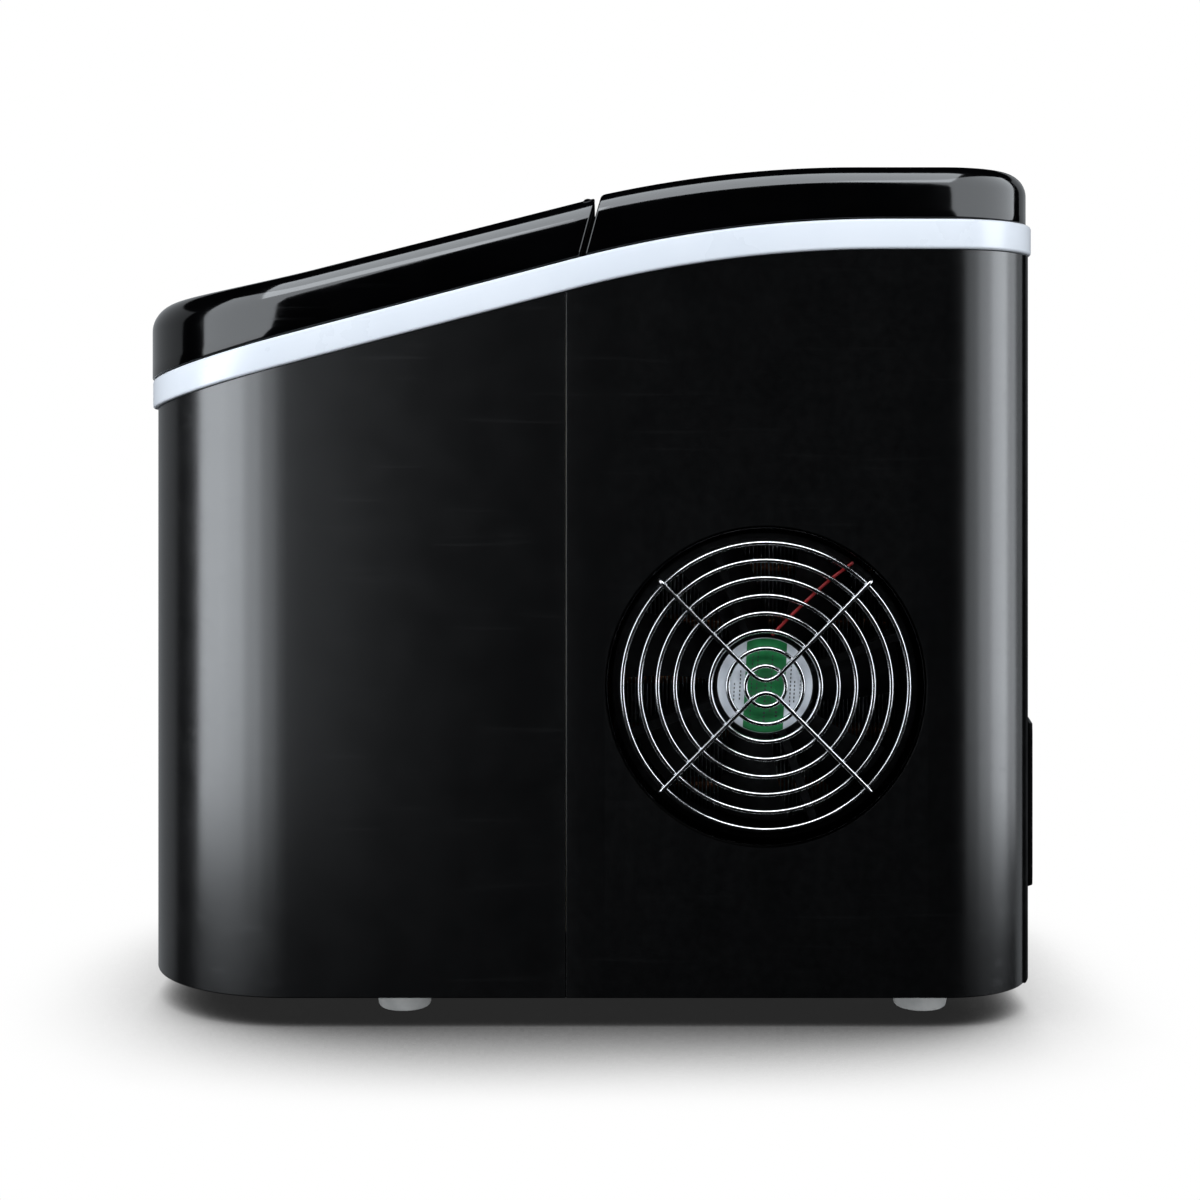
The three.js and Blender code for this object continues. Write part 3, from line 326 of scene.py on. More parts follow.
def rounded_path(corners, radius, steps=6):
    """Straight runs between corners with each corner rounded."""
    corners = [Vector(c) for c in corners]
    path = [corners[0]]
    for before, corner, after in zip(corners, corners[1:], corners[2:]):
        back = (before - corner).normalized() * min(radius, (before - corner).length * 0.45)
        on = (after - corner).normalized() * min(radius, (after - corner).length * 0.45)
        for k in range(steps + 1):
            t = k / steps
            path.append(corner + back * (1 - t) ** 2 + on * t ** 2)
    path.append(corners[-1])
    return path


# ---------------------------------------------------------------- plan outlines

def arc(centre_x, centre_y, radius, start, end, steps):
    """Plan points on an arc between two angles."""
    return [
        (centre_x + radius * math.cos(a), centre_y + radius * math.sin(a))
        for a in np.linspace(start, end, steps + 1)
    ]


def eased_corner(x, y, radius, ahead):
    """A small round where a side meets a straight cut across the plan, from the cut to the side."""
    if radius == 0:
        return [(x, y)]
    centre_y = y - radius if ahead else y + radius
    start, end = (math.pi / 2, 0) if ahead else (-math.pi / 2, 0)
    return arc(x - radius, centre_y, radius, start, end, 5)


def front_half(grow, cut_y, nose=0.0, corner=0.0):
    """Plan points on the right, from a cut across at cut_y forward to the middle of the front."""
    side_x = HALF_WIDTH + grow
    down = -math.pi / 2
    turn_in = down + BOW_HALF_ANGLE
    start = eased_corner(side_x, cut_y, corner, True)
    side = [(side_x, y) for y in np.linspace(start[-1][1], FRONT_CENTRE_Y, 21)[1:]]
    bend = arc(FRONT_CENTRE_X, FRONT_CENTRE_Y, FRONT_RADIUS + grow, 0, turn_in, 28)[1:]
    bow = arc(0, BOW_CENTRE_Y, BOW_RADIUS + grow, turn_in, down, 10)[1:]
    stretch = nose / (FRONT_CENTRE_Y + HALF_DEPTH)
    return [(x, y + min(0.0, y - FRONT_CENTRE_Y) * stretch) for x, y in start + side + bend + bow]


def rear_half(grow, cut_y, corner=0.0, end=math.pi / 2, across=True):
    """Plan points on the right, from a cut across at cut_y back to the middle of the rear."""
    side_x = HALF_WIDTH + grow
    start = eased_corner(side_x, cut_y, corner, False)
    side = [(side_x, y) for y in np.linspace(start[-1][1], REAR_CENTRE_Y, 21)[1:]]
    bend = arc(REAR_CENTRE_X, REAR_CENTRE_Y, REAR_RADIUS + grow, 0, end, 20)[1:]
    flat = [(x, HALF_DEPTH + grow) for x in np.linspace(REAR_CENTRE_X, 0, 9)[1:]] if across else []
    return start + side + bend + flat


def mirrored(half):
    """A right half that ends in the middle, with its left half added."""
    return half + [(-x, y) for x, y in reversed(half[:-1])]


def closed_plan(half, across=25):
    """The whole outline of a half, closed by a straight run across the cut."""
    loop = mirrored(half)
    cut_x = half[0][0]
    return loop + [(x, half[0][1]) for x in np.linspace(-cut_x, cut_x, across + 2)[1:-1]]


# Heights are functions of depth, so that a ring can follow the slope of the band or the crown

def above(curve, rise):
    return lambda y: curve(y) + rise


def between(low, high, share):
    return lambda y: low(y) * (1 - share) + high(y) * share


def level(z):
    return lambda y: z


def raised(plan, height):
    """Plan points lifted to a height that depends on depth."""
    return [(x, y, height(y)) for x, y in plan]


def wall(name, path, section, closed=False, angle=32):
    """A closed section of (grow, height) pairs carried along a path of plan points."""
    outlines = {grow: path(grow) for grow, _ in section}
    rings = [
        [(*outlines[grow][i], height(outlines[grow][i][1])) for grow, height in section]
        for i in range(len(outlines[section[0][0]]))
    ]
    return mesh_object(name, *bridge(rings, closed), angle)


def cut_depth(height, offset):
    """Depth where the leaning split meets a surface of the given height."""
    y = SPLIT_TOP.x
    for _ in range(12):
        y = split_y(height(y), offset)
    return y


class Rect:
    """A rounded rectangle in plan."""

    def __init__(self, left, right, front, rear, corner):
        self.centre = Vector(((left + right) / 2, (front + rear) / 2))
        self.half = Vector(((right - left) / 2, (rear - front) / 2))
        self.corner = corner

    def outside(self, point, margin):
        """Signed distance of a plan point from the outline moved out by margin."""
        q = [abs(p - c) - h + self.corner for p, c, h in zip(point, self.centre, self.half)]
        return math.hypot(max(q[0], 0), max(q[1], 0)) + min(max(q), 0) - self.corner - margin

    def towards(self, point, margin, centre):
        """Where the line from centre to a plan point crosses the outline moved out by margin."""
        reach = (Vector(point) - centre).normalized()
        near, far = 0.0, 0.5
        for _ in range(34):
            middle = (near + far) / 2
            if self.outside(centre + reach * middle, margin) < 0:
                near = middle
            else:
                far = middle
        return tuple(centre + reach * near)

    def ring(self, guide, margin, centre=None):
        """Points on the outline, one for each point of the guide."""
        origin = self.centre if centre is None else centre
        return [self.towards(point, margin, origin) for point in guide]


def lerp_plan(a, b, share):
    """Plan points a share of the way from one outline to another."""
    return [(p[0] + (q[0] - p[0]) * share, p[1] + (q[1] - p[1]) * share) for p, q in zip(a, b)]


def toward_centre(plan, centre, share):
    """Plan points moved a share of the way to the centre."""
    return [(x + (centre[0] - x) * share, y + (centre[1] - y) * share) for x, y in plan]


# ---------------------------------------------------------------- materials

RANGE_SOCKETS = ("From Min", "From Max", "To Min", "To Max")
# Shader sockets that hold one value all over a finish
FIXED = {
    "metallic": "Metallic",
    "ior": "IOR",
    "specular": "Specular IOR Level",
    "coat": "Coat Weight",
    "coat_roughness": "Coat Roughness",
    "transmission": "Transmission Weight",
    "subsurface": "Subsurface Weight",
    "sheen": "Sheen Weight",
    "anisotropy": "Anisotropic",
}


def material(name, colour, tint, roughness, spread, patch=35.0, grain=(900.0, 12e-6), peel=0.0,
             streak=None, scratches=0.0, edge_highlight=0.0, dust=0.0, **fixed):
    """A procedural finish.

    The colour drifts to the tint in patches, and the roughness varies by spread. The grain is a
    fine bump of (density, depth), peel is a slow waviness, streak stretches the grain along an
    axis, scratches roughen hairlines, convex edges are lightened by a painted edge highlight,
    and dust lightens patches.
    """
    made = bpy.data.materials.new(name)
    made.use_nodes = True
    tree = made.node_tree
    shader = tree.nodes["Principled BSDF"]
    for key, value in fixed.items():
        shader.inputs[FIXED[key]].default_value = value
    link = tree.links.new
    place = tree.nodes.new("ShaderNodeTexCoord").outputs["Object"]

    def noise(density, stretch=(1, 1, 1), detail=3.0):
        shaped = tree.nodes.new("ShaderNodeMapping")
        shaped.inputs["Scale"].default_value = stretch
        link(place, shaped.inputs["Vector"])
        field = tree.nodes.new("ShaderNodeTexNoise")
        field.inputs["Scale"].default_value = density
        field.inputs["Detail"].default_value = detail
        link(shaped.outputs["Vector"], field.inputs["Vector"])
        return field.outputs["Fac"]

    def spread_out(value, low, high, new_low, new_high):
        scaled = tree.nodes.new("ShaderNodeMapRange")
        for socket, number in zip(RANGE_SOCKETS, (low, high, new_low, new_high)):
            scaled.inputs[socket].default_value = number
        link(value, scaled.inputs["Value"])
        return scaled.outputs["Result"]

    def mix(share, a, b):
        blend = tree.nodes.new("ShaderNodeMix")
        blend.data_type = "RGBA"
        link(share, blend.inputs["Factor"])
        for socket, value in ((blend.inputs["A"], a), (blend.inputs["B"], b)):
            if isinstance(value, tuple):
                socket.default_value = (*value, 1)
            else:
                link(value, socket)
        return blend.outputs["Result"]

    def add(a, b, operation="ADD"):
        total = tree.nodes.new("ShaderNodeMath")
        total.operation = operation
        link(a, total.inputs[0])
        link(b, total.inputs[1])
        return total.outputs["Value"]

    colouring = mix(spread_out(noise(patch), 0.35, 0.65, 0, 1), colour, tint)
    if dust:
        haze = spread_out(noise(patch * 4, detail=6.0), 0.5, 0.75, 0, dust)
        colouring = mix(haze, colouring, (0.5, 0.5, 0.49))
    # Convex edges, found by pointiness, are lightened in noisy patches: a painted edge highlight.
    if edge_highlight:
        edges = tree.nodes.new("ShaderNodeNewGeometry").outputs["Pointiness"]
        painted_highlight_mask = add(spread_out(edges, 0.51, 0.58, 0, edge_highlight), noise(patch * 8), "MULTIPLY")
        highlight_colour = tuple(min(1.0, 0.1 + c * 1.4) for c in colour)
        colouring = mix(painted_highlight_mask, colouring, highlight_colour)
    link(colouring, shader.inputs["Base Color"])

    finish = spread_out(noise(patch * 1.7, detail=5.0), 0.3, 0.7, roughness - spread, roughness + spread)
    if scratches:
        lines = noise(260.0, stretch=(1.0, 0.06, 1.4), detail=2.0)
        finish = add(finish, spread_out(lines, 0.62, 0.74, 0, scratches))
    link(finish, shader.inputs["Roughness"])

    stretch = {"x": (0.02, 1, 1), "y": (1, 0.02, 1), "z": (1, 1, 0.02), None: (1, 1, 1)}[streak]
    relief = tree.nodes.new("ShaderNodeBump")
    relief.inputs["Strength"].default_value = 1.0
    relief.inputs["Distance"].default_value = grain[1]
    link(noise(grain[0], stretch, 2.0), relief.inputs["Height"])
    normal = relief.outputs["Normal"]
    if peel:
        wavy = tree.nodes.new("ShaderNodeBump")
        wavy.inputs["Strength"].default_value = 1.0
        wavy.inputs["Distance"].default_value = peel
        link(noise(170.0, detail=1.0), wavy.inputs["Height"])
        link(normal, wavy.inputs["Normal"])
        normal = wavy.outputs["Normal"]
    link(normal, shader.inputs["Normal"])
    return made


LACQUER = material("black_lacquer", (0.0003, 0.0003, 0.0004), (0.0006, 0.0006, 0.0007), 0.225, 0.014,
                   grain=(1500.0, 2.5e-6), peel=3e-6, scratches=0.03, edge_highlight=0.05)
GLOSS = material("gloss_black", (0.0002, 0.0002, 0.00025), (0.0004, 0.0004, 0.0005), 0.085, 0.03,
                 patch=22, grain=(700.0, 0.8e-6), peel=2e-6, scratches=0.05)
MOULDED = material("moulded_black", (0.011, 0.011, 0.012), (0.018, 0.018, 0.019), 0.56, 0.08,
                   grain=(2600.0, 22e-6), edge_highlight=0.12, dust=0.06)
TRIM = material("white_trim", (0.80, 0.83, 0.88), (0.75, 0.785, 0.84), 0.3, 0.06,
                patch=18, grain=(1800.0, 3e-6), peel=2e-6, scratches=0.05, coat=0.15, coat_roughness=0.12)
SMOKE = material("smoked_window", (0.20, 0.215, 0.235), (0.17, 0.185, 0.205), 0.05, 0.02,
                 patch=20, grain=(700.0, 0.6e-6), scratches=0.06, transmission=0.92, ior=1.49)
RUBBER = material("grey_rubber", (0.56, 0.55, 0.53), (0.46, 0.455, 0.44), 0.72, 0.08,
                  patch=140, grain=(2200.0, 25e-6), dust=0.2)
CHROME = material("guard_chrome", (0.80, 0.80, 0.82), (0.70, 0.71, 0.73), 0.2, 0.06,
                  patch=180, grain=(1600.0, 5e-6), metallic=1.0)
FOIL = material("foil_label", (0.74, 0.77, 0.82), (0.66, 0.69, 0.74), 0.4, 0.05,
                patch=220, grain=(1400.0, 4e-6), metallic=0.1)
GREEN = material("label_green", (0.012, 0.19, 0.055), (0.009, 0.14, 0.04), 0.42, 0.05,
                 patch=260, grain=(1700.0, 3e-6))
PRINT = material("label_print", (0.03, 0.035, 0.035), (0.06, 0.065, 0.065), 0.5, 0.05,
                 patch=500, grain=(2600.0, 2e-6))
LINER = material("pale_liner", (0.70, 0.72, 0.73), (0.64, 0.67, 0.685), 0.4, 0.08,
                 patch=25, grain=(1500.0, 8e-6), peel=6e-6, dust=0.05, subsurface=0.04)
BASKET = material("grey_basket", (0.52, 0.56, 0.59), (0.46, 0.50, 0.535), 0.3, 0.07,
                  patch=40, grain=(1800.0, 6e-6), scratches=0.1, subsurface=0.05)
FOAM = material("rigid_foam", (0.72, 0.62, 0.42), (0.62, 0.52, 0.33), 0.92, 0.05,
                patch=120, grain=(650.0, 160e-6), dust=0.1)
ALUMINIUM = material("bare_aluminium", (0.66, 0.67, 0.68), (0.56, 0.57, 0.585), 0.36, 0.09,
                     patch=90, grain=(1500.0, 6e-6), streak="z", metallic=1.0)
NICKEL = material("plated_fingers", (0.72, 0.71, 0.68), (0.62, 0.61, 0.585), 0.22, 0.07,
                  patch=120, grain=(1500.0, 5e-6), metallic=1.0)
STEEL = material("plated_steel", (0.55, 0.56, 0.575), (0.44, 0.45, 0.465), 0.36, 0.1,
                 patch=70, grain=(1300.0, 8e-6), streak="x", metallic=1.0, edge_highlight=0.1)
COPPER = material("copper_tube", (0.70, 0.33, 0.19), (0.48, 0.21, 0.11), 0.34, 0.12,
                  patch=110, grain=(1200.0, 6e-6), metallic=1.0)
ENAMEL = material("compressor_enamel", (0.012, 0.012, 0.013), (0.02, 0.02, 0.021), 0.3, 0.07,
                  patch=60, grain=(800.0, 12e-6), peel=22e-6, dust=0.12)
BOARD = material("circuit_board", (0.022, 0.14, 0.055), (0.03, 0.185, 0.075), 0.42, 0.1,
                 patch=220, grain=(420.0, 30e-6), coat=0.3, coat_roughness=0.2)
BUTTON = material("button_silver", (0.52, 0.53, 0.55), (0.46, 0.47, 0.49), 0.34, 0.06,
                  patch=160, grain=(2600.0, 6e-6), metallic=0.4, edge_highlight=0.1)
LENS = material("clear_lens", (0.72, 0.78, 0.80), (0.66, 0.73, 0.76), 0.14, 0.05,
                patch=300, grain=(1500.0, 3e-6), transmission=0.55, ior=1.49)
RED = material("red_lead", (0.26, 0.006, 0.008), (0.2, 0.005, 0.006), 0.42, 0.08,
               patch=300, grain=(2200.0, 10e-6))
HOSE = material("milky_hose", (0.74, 0.77, 0.78), (0.66, 0.70, 0.71), 0.28, 0.06,
                patch=80, grain=(1300.0, 8e-6), transmission=0.4, subsurface=0.1)


# ---------------------------------------------------------------- placing pieces

def put(made, look, body, slot, *nodes):
    """Gives a piece its finish and its body, and hides the CAD nodes it stands for."""
    made.data.materials.clear()
    made.data.materials.append(look)
    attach(made, body)
    if nodes:
        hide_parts(*nodes)
    return made


def dress(node, look, width=0.4 * MM):
    """Keeps a CAD node, with crisp edges rounded and a procedural finish."""
    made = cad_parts[node]
    made.data.materials.clear()
    made.data.materials.append(look)
    weld = made.modifiers.new("weld", "WELD")
    weld.merge_threshold = 0.01 * MM
    edge = made.modifiers.new("edge", "BEVEL")
    edge.width = width
    edge.segments = 2
    edge.limit_method = "ANGLE"
    edge.angle_limit = math.radians(40)
    edge.harden_normals = True
    for face in made.data.polygons:
        face.use_smooth = True


def hole_x(y, z, radius, x0, x1, sides=96):
    return merge("hole", [turned([(radius, x0), (radius, x1)], "x", (0, y, z), sides)])


def hole_y(x, z, radius, y0, y1, sides=32):
    return merge("hole", [turned([(radius, y0), (radius, y1)], "y", (x, 0, z), sides)])


def hole_box(*sides):
    return merge("hole", [block(*sides)])


# ---------------------------------------------------------------- cabinet skin

SEAM_GAP = 0.2 * MM
BACK_EDGE_X = 97.4 * MM
BACK_GAP = 0.3 * MM
BACK_PROUD = 0.9 * MM
SHELL_DROP = 0.3 * MM
HEM = 0.5 * MM


def sheet_section(outer, inner, low):
    """A sheet wall from a height up to the trim band, with a rounded foot."""
    top = above(band_bottom, -SHELL_DROP)
    foot = [(outer - HEM, 0.0), (outer - 0.29 * HEM, 0.29 * HEM), (outer, HEM)]
    section = [(grow, level(low + rise)) for grow, rise in foot]
    section += [(outer, between(level(low + HEM), top, share)) for share in (0.5, 1.0)]
    return section + [(inner, top), (inner, level(low))]


steel = sheet_section(0, -SHEET, FLOOR_GAP)
front_shell = wall("front_steel_wrap", lambda g: mirrored(front_half(g, SEAM_Y - SEAM_GAP)), steel)
drain_low, drain_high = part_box("drain_cap")
_, DRAIN_Y, DRAIN_Z = centre_of(drain_low, drain_high)
carve(front_shell, [hole_x(DRAIN_Y, DRAIN_Z, 15 * MM, -0.13, -0.1)])
put(soften(front_shell, 0.35 * MM, 2, 50), LACQUER, "cabinet", "wrap_steel", "front_shell")

rear_turn = math.acos((BACK_EDGE_X - REAR_CENTRE_X) / REAR_RADIUS)
panel_path = lambda g: rear_half(g, SEAM_Y + SEAM_GAP, end=rear_turn, across=False)
right_panel = wall("right_steel_panel", panel_path, steel)
left_panel = wall("left_steel_panel", lambda g: [(-x, y) for x, y in panel_path(g)], steel)

frame_low, frame_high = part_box("fan_frame")
_, FAN_Y, FAN_Z = centre_of(frame_low, frame_high)
FAN_BACK, FAN_FACE = frame_low.x, frame_high.x
FAN_OPENING = 60.7 * MM
LIP = 1.1 * MM
carve(right_panel, [hole_x(FAN_Y, FAN_Z, FAN_OPENING + LIP, 0.1, 0.13, 144)])
soften(right_panel, 0.35 * MM, 2, 50)
# The rolled lip round the fan opening is a turned piece of its own
lip_curve = [
    (FAN_OPENING + LIP * (1 - math.cos(a)), HALF_WIDTH - LIP * (1 - math.sin(a)))
    for a in np.linspace(math.pi / 2, 0, 7)
]
lip_profile = [(FAN_OPENING + LIP + 0.05 * MM, HALF_WIDTH), *lip_curve,
               (FAN_OPENING, HALF_WIDTH - 2.6 * MM), (FAN_OPENING + 0.9 * MM, HALF_WIDTH - 2.6 * MM),
               (FAN_OPENING + LIP + 0.05 * MM, HALF_WIDTH - SHEET)]
lip = merge("fan_lip", [turned(lip_profile, "x", (0, FAN_Y, FAN_Z), 144, closed=True)])
put(right_panel, LACQUER, "cabinet", "wrap_steel", "right_side_panel")
put(lip, LACQUER, "cabinet", "wrap_steel")

# Air inlet slots in the left side, with round ends. SLOT_FOOT and SLOT_PITCH are in millimetres.
SLOT_X = (-0.13, -0.1)
SLOT_Y = (30 * MM, 118 * MM)
SLOT_COUNT, SLOT_FOOT, SLOT_PITCH = 12, 82, 9
slot_cutters = []
for i in range(SLOT_COUNT):
    z = (SLOT_FOOT + SLOT_PITCH * i) * MM
    half = 1.75 * MM
    ends = [(SLOT_Y[0] + half, math.pi / 2), (SLOT_Y[1] - half, -math.pi / 2)]
    ring = []
    for y, start in ends:
        for k in range(9):
            a = start + math.pi * k / 8
            ring.append((y + half * math.cos(a), z + half + half * math.sin(a)))
    rings = [[(x, y, zz) for y, zz in ring] for x in SLOT_X]
    slot_cutters.append(merge("hole", [bridge(rings)]))
carve(left_panel, slot_cutters)
put(soften(left_panel, 0.3 * MM, 2, 50), LACQUER, "cabinet", "wrap_steel", "left_side_panel")
# A ribbed dust filter behind the slots
ribs = [block(-117.4 * MM, -116.9 * MM, 24 * MM, 124 * MM, 76 * MM, 190 * MM)]
for i in range(17):
    y = (27 + 5.8 * i) * MM
    ribs.append(block(-116.95 * MM, -116 * MM, y, y + 1.2 * MM, 77 * MM, 189 * MM))
put(merge("inlet_dust_filter", ribs), MOULDED, "cabinet", "moulded_black")

back_start = math.acos((BACK_EDGE_X - BACK_GAP - REAR_CENTRE_X) / REAR_RADIUS)


def back_path(grow):
    bend = arc(REAR_CENTRE_X, REAR_CENTRE_Y, REAR_RADIUS + grow, back_start, math.pi / 2, 8)
    flat = [(x, HALF_DEPTH + grow) for x in np.linspace(REAR_CENTRE_X, 0, 9)[1:]]
    return mirrored(bend + flat)


back_panel = wall("rear_cabinet_panel", back_path, sheet_section(BACK_PROUD, -1.3 * MM, FLOOR_GAP))
vent_low, vent_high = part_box("rear_vent_grille")
inlet_low, inlet_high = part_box("power_inlet")
carve(back_panel, [
    hole_box(vent_low.x + 6 * MM, vent_high.x - 6 * MM, 0.16, 0.2,
             vent_low.z + 8 * MM, vent_high.z - 8 * MM),
    hole_box(inlet_low.x + 2.5 * MM, inlet_high.x - 2.5 * MM, 0.16, 0.2,
             inlet_low.z + 2.5 * MM, inlet_high.z - 2.5 * MM),
])
put(soften(back_panel, 0.35 * MM, 2, 50), MOULDED, "cabinet", "moulded_black", "back_panel")

# The trim band: a soft bead all round
BEAD = 1.1 * MM
bead = [
    (BAND_PROUD - BEAD * (1 - math.sin(a)), above(band_bottom, BEAD * (1 - math.cos(a))))
    for a in np.linspace(0, math.pi / 2, 6)
]
bead += [(BAND_PROUD, above(band_bottom, BAND_HEIGHT / 2))]
bead += [
    (BAND_PROUD - BEAD * (1 - math.cos(a)), above(band_top, -BEAD * (1 - math.sin(a))))
    for a in np.linspace(0, math.pi / 2, 6)
]
bead += [(-BAND_INSET, band_top), (-BAND_INSET, band_bottom)]


def band_path(grow):
    front = mirrored(front_half(grow, 0.0))
    rear = mirrored(rear_half(grow, 0.0))
    return front + list(reversed(rear))[1:-1]


put(wall("trim_bead", band_path, bead, closed=True), TRIM, "cabinet", "trim_white", "trim_band")

# ---------------------------------------------------------------- lid and rear cover

# TIP_FALL and TIP_REACH round the edge beside the split, over its fall and its reach
WINDOW_RECT = Rect(-70 * MM, 70 * MM, -150 * MM, -34 * MM, 14 * MM)
LID_CENTRE = Vector((0, -92 * MM))
EDGE_EASE = 0.7 * MM
TIP_FALL = 1.5 * MM
TIP_REACH = 1.4 * MM
SHOULDER_STEPS = 14
crown_foot = above(band_top, LID_LIFT)


def tip_ease(drop):
    """How far the edge beside the split is rounded away at a drop below the crown."""
    share = max(0.0, 1 - drop / TIP_FALL)
    return TIP_REACH * (1 - math.sqrt(max(0.0, 1 - share ** 2)))


def crown_plan(front, grow, height, offset, corner=EDGE_EASE, nose=0.0):
    """A ring of the lid (front) or of the rear cover, cut at an offset from the split."""
    cut_y = cut_depth(height, -offset if front else offset)
    half = front_half(grow, cut_y, nose, corner) if front else rear_half(grow, cut_y, corner)
    return closed_plan(half)


FINGER_Y = (-120 * MM, -86 * MM)
FINGER_RISE = 4 * MM
FINGER_DEPTH = 0.6 * MM


def finger_hollow(points):
    """A shallow scoop in the lower edge of the lid on each side."""
    scooped = []
    for x, y, z in points:
        along = (y - FINGER_Y[0]) / (FINGER_Y[1] - FINGER_Y[0])
        rise = (z - crown_foot(y)) / FINGER_RISE
        if 0 < along < 1 and rise < 1:
            share = math.sin(math.pi * along) ** 0.5 * (1 - max(0.0, rise) ** 2)
            x -= math.copysign(FINGER_DEPTH * share, x)
        scooped.append((x, y, z))
    return scooped


def crown_outside(front, crown, nose):
    """Rings from the inner lower edge, round the foot, up the side and over the shoulder."""
    rounding = CROWN_ROUND if front else COVER_ROUND
    foot = [(-CROWN_WALL + 0.3 * MM, 0.0), (-0.5 * MM, 0.0), (-0.15 * MM, 0.15 * MM), (0.0, 0.5 * MM)]
    rings = []
    for grow, rise in foot:
        height = above(crown_foot, rise)
        rings.append(raised(crown_plan(front, grow, height, SPLIT_GAP / 2 - grow, nose=nose), height))
    shoulder_foot = above(crown, -rounding)
    for share in (0.25, 0.5, 0.75, 1.0):
        height = between(above(crown_foot, 0.5 * MM), shoulder_foot, share)
        rings.append(raised(crown_plan(front, 0, height, SPLIT_GAP / 2, nose=nose), height))
    for step in range(1, SHOULDER_STEPS + 1):
        turn = math.pi / 2 * step / SHOULDER_STEPS
        drop = rounding * (1 - math.sin(turn))
        height = above(crown, -drop)
        grow = -rounding * (1 - math.cos(turn))
        rings.append(raised(
            crown_plan(front, grow, height, SPLIT_GAP / 2 + tip_ease(drop), nose=nose), height))
    return rings


def crown_inside(front, crown, nose):
    """Rings of the inner face, from the inner shoulder's top down to the foot."""
    rings = []
    radius = CROWN_ROUND - CROWN_WALL
    offset = SPLIT_GAP / 2 + CROWN_WALL
    for step in range(6, -1, -1):
        turn = math.pi / 2 * step / 6
        height = above(crown, -CROWN_WALL - radius * (1 - math.sin(turn)))
        grow = -CROWN_WALL - radius * (1 - math.cos(turn))
        rings.append(raised(crown_plan(front, grow, height, offset, nose=nose), height))
    height = above(crown_foot, 0.3 * MM)
    rings.append(raised(crown_plan(front, -CROWN_WALL, height, offset, nose=nose), height))
    return rings


def rect_rings(rect, guide, centre, crown, steps):
    """Rings on a rounded rectangle, from (margin, rise above the crown) steps in millimetres."""
    return [raised(rect.ring(guide, margin * MM, centre), above(crown, rise * MM))
            for margin, rise in steps]


def shrunk_rings(rect, guide, centre, crown, step, shares):
    """Rings from one such step that shrink towards the centre by each share."""
    margin, rise = step
    edge = rect.ring(guide, margin * MM, centre)
    return [raised(toward_centre(edge, centre, share), above(crown, rise * MM)) for share in shares]


def plate_rings(rect, guide, centre, crown, underside, steps):
    """Rings of a plate set in a rounded opening, from the middle of its underside to its top."""
    return (shrunk_rings(rect, guide, centre, crown, underside, (0.9, 0.6, 0.3, 0.0))
            + rect_rings(rect, guide, centre, crown, steps)
            + shrunk_rings(rect, guide, centre, crown, steps[-1], (0.3, 0.6, 0.9)))


lid_outer = crown_outside(True, lid_crown, LID_NOSE)
lid_top = [(x, y) for x, y, _ in lid_outer[-1]]
lid_edge = WINDOW_RECT.ring(lid_top, 0.9 * MM, LID_CENTRE)
lid_field = [raised(lerp_plan(lid_top, lid_edge, k / 8), lid_crown) for k in range(1, 8)]
# Down into the window's opening, in along the ledge that holds the pane, and back out under it
lid_window_rings = rect_rings(WINDOW_RECT, lid_top, LID_CENTRE, lid_crown, [
    (0.9, 0), (0.5, -0.12), (0.3, -0.5), (0.3, -2.3), (-3.0, -2.3), (-3.0, -4.2), (3.0, -4.2),
    (3.4, -2.2),
])
lid_inner = crown_inside(True, lid_crown, LID_NOSE)
inner_plan = [(x, y) for x, y, _ in lid_inner[0]]
ledge_plan = [(x, y) for x, y, _ in lid_window_rings[-1]]
lid_ceiling = [
    raised(lerp_plan(ledge_plan, inner_plan, k / 4), above(lid_crown, -CROWN_WALL)) for k in (1, 2, 3)
]
lid_rings = [finger_hollow(ring) for ring in lid_outer]
lid_rings += lid_field + lid_window_rings + lid_ceiling + lid_inner
front_lid = mesh_object("gloss_lid", *bridge(lid_rings, closed=True), 38)

pin_low, pin_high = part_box("hinge_pin_right")
_, HINGE_Y, HINGE_Z = centre_of(pin_low, pin_high)
EAR_FROM, EAR_TO, EAR_RADIUS = 99 * MM, 103 * MM, 2.3 * MM
# Room in the lid for the deck's hinge ears, and bosses for the pins
notches = []
for side in (1, -1):
    x0, x1 = sorted((side * (EAR_FROM - 0.8 * MM), side * (EAR_TO + 0.8 * MM)))
    notches.append(hole_box(x0, x1, HINGE_Y - EAR_RADIUS - 0.5 * MM, HINGE_Y + 0.02,
                            HINGE_Z - 5 * MM, 0.4))
    notches.append(hole_box(x0, x1, HINGE_Y - 0.01, HINGE_Y + 0.02, 0.27, HINGE_Z - 4 * MM))
carve(front_lid, notches, 38)
BOSS_PROFILE = [(1.5, 104), (2.1, 104), (2.3, 104.2), (2.3, 112), (1.5, 112)]
bosses = [
    turned(in_mm(BOSS_PROFILE, side=side), "x", (0, HINGE_Y, HINGE_Z), 32, closed=True)
    for side in (1, -1)
]
front_lid = join_objects(front_lid, merge("bosses", bosses))
put(front_lid, GLOSS, "lid", "crown_gloss", "front_lid")

pane_rings = plate_rings(WINDOW_RECT, lid_top, LID_CENTRE, lid_crown, (-0.5, -2), [
    (-0.1, -1.9), (0.0, -1.6), (0.0, -0.9), (-0.18, -0.5), (-0.6, -0.3),
])
put(mesh_object("smoked_pane", *bridge(pane_rings), 38), SMOKE, "lid", "window_smoke", "lid_window")

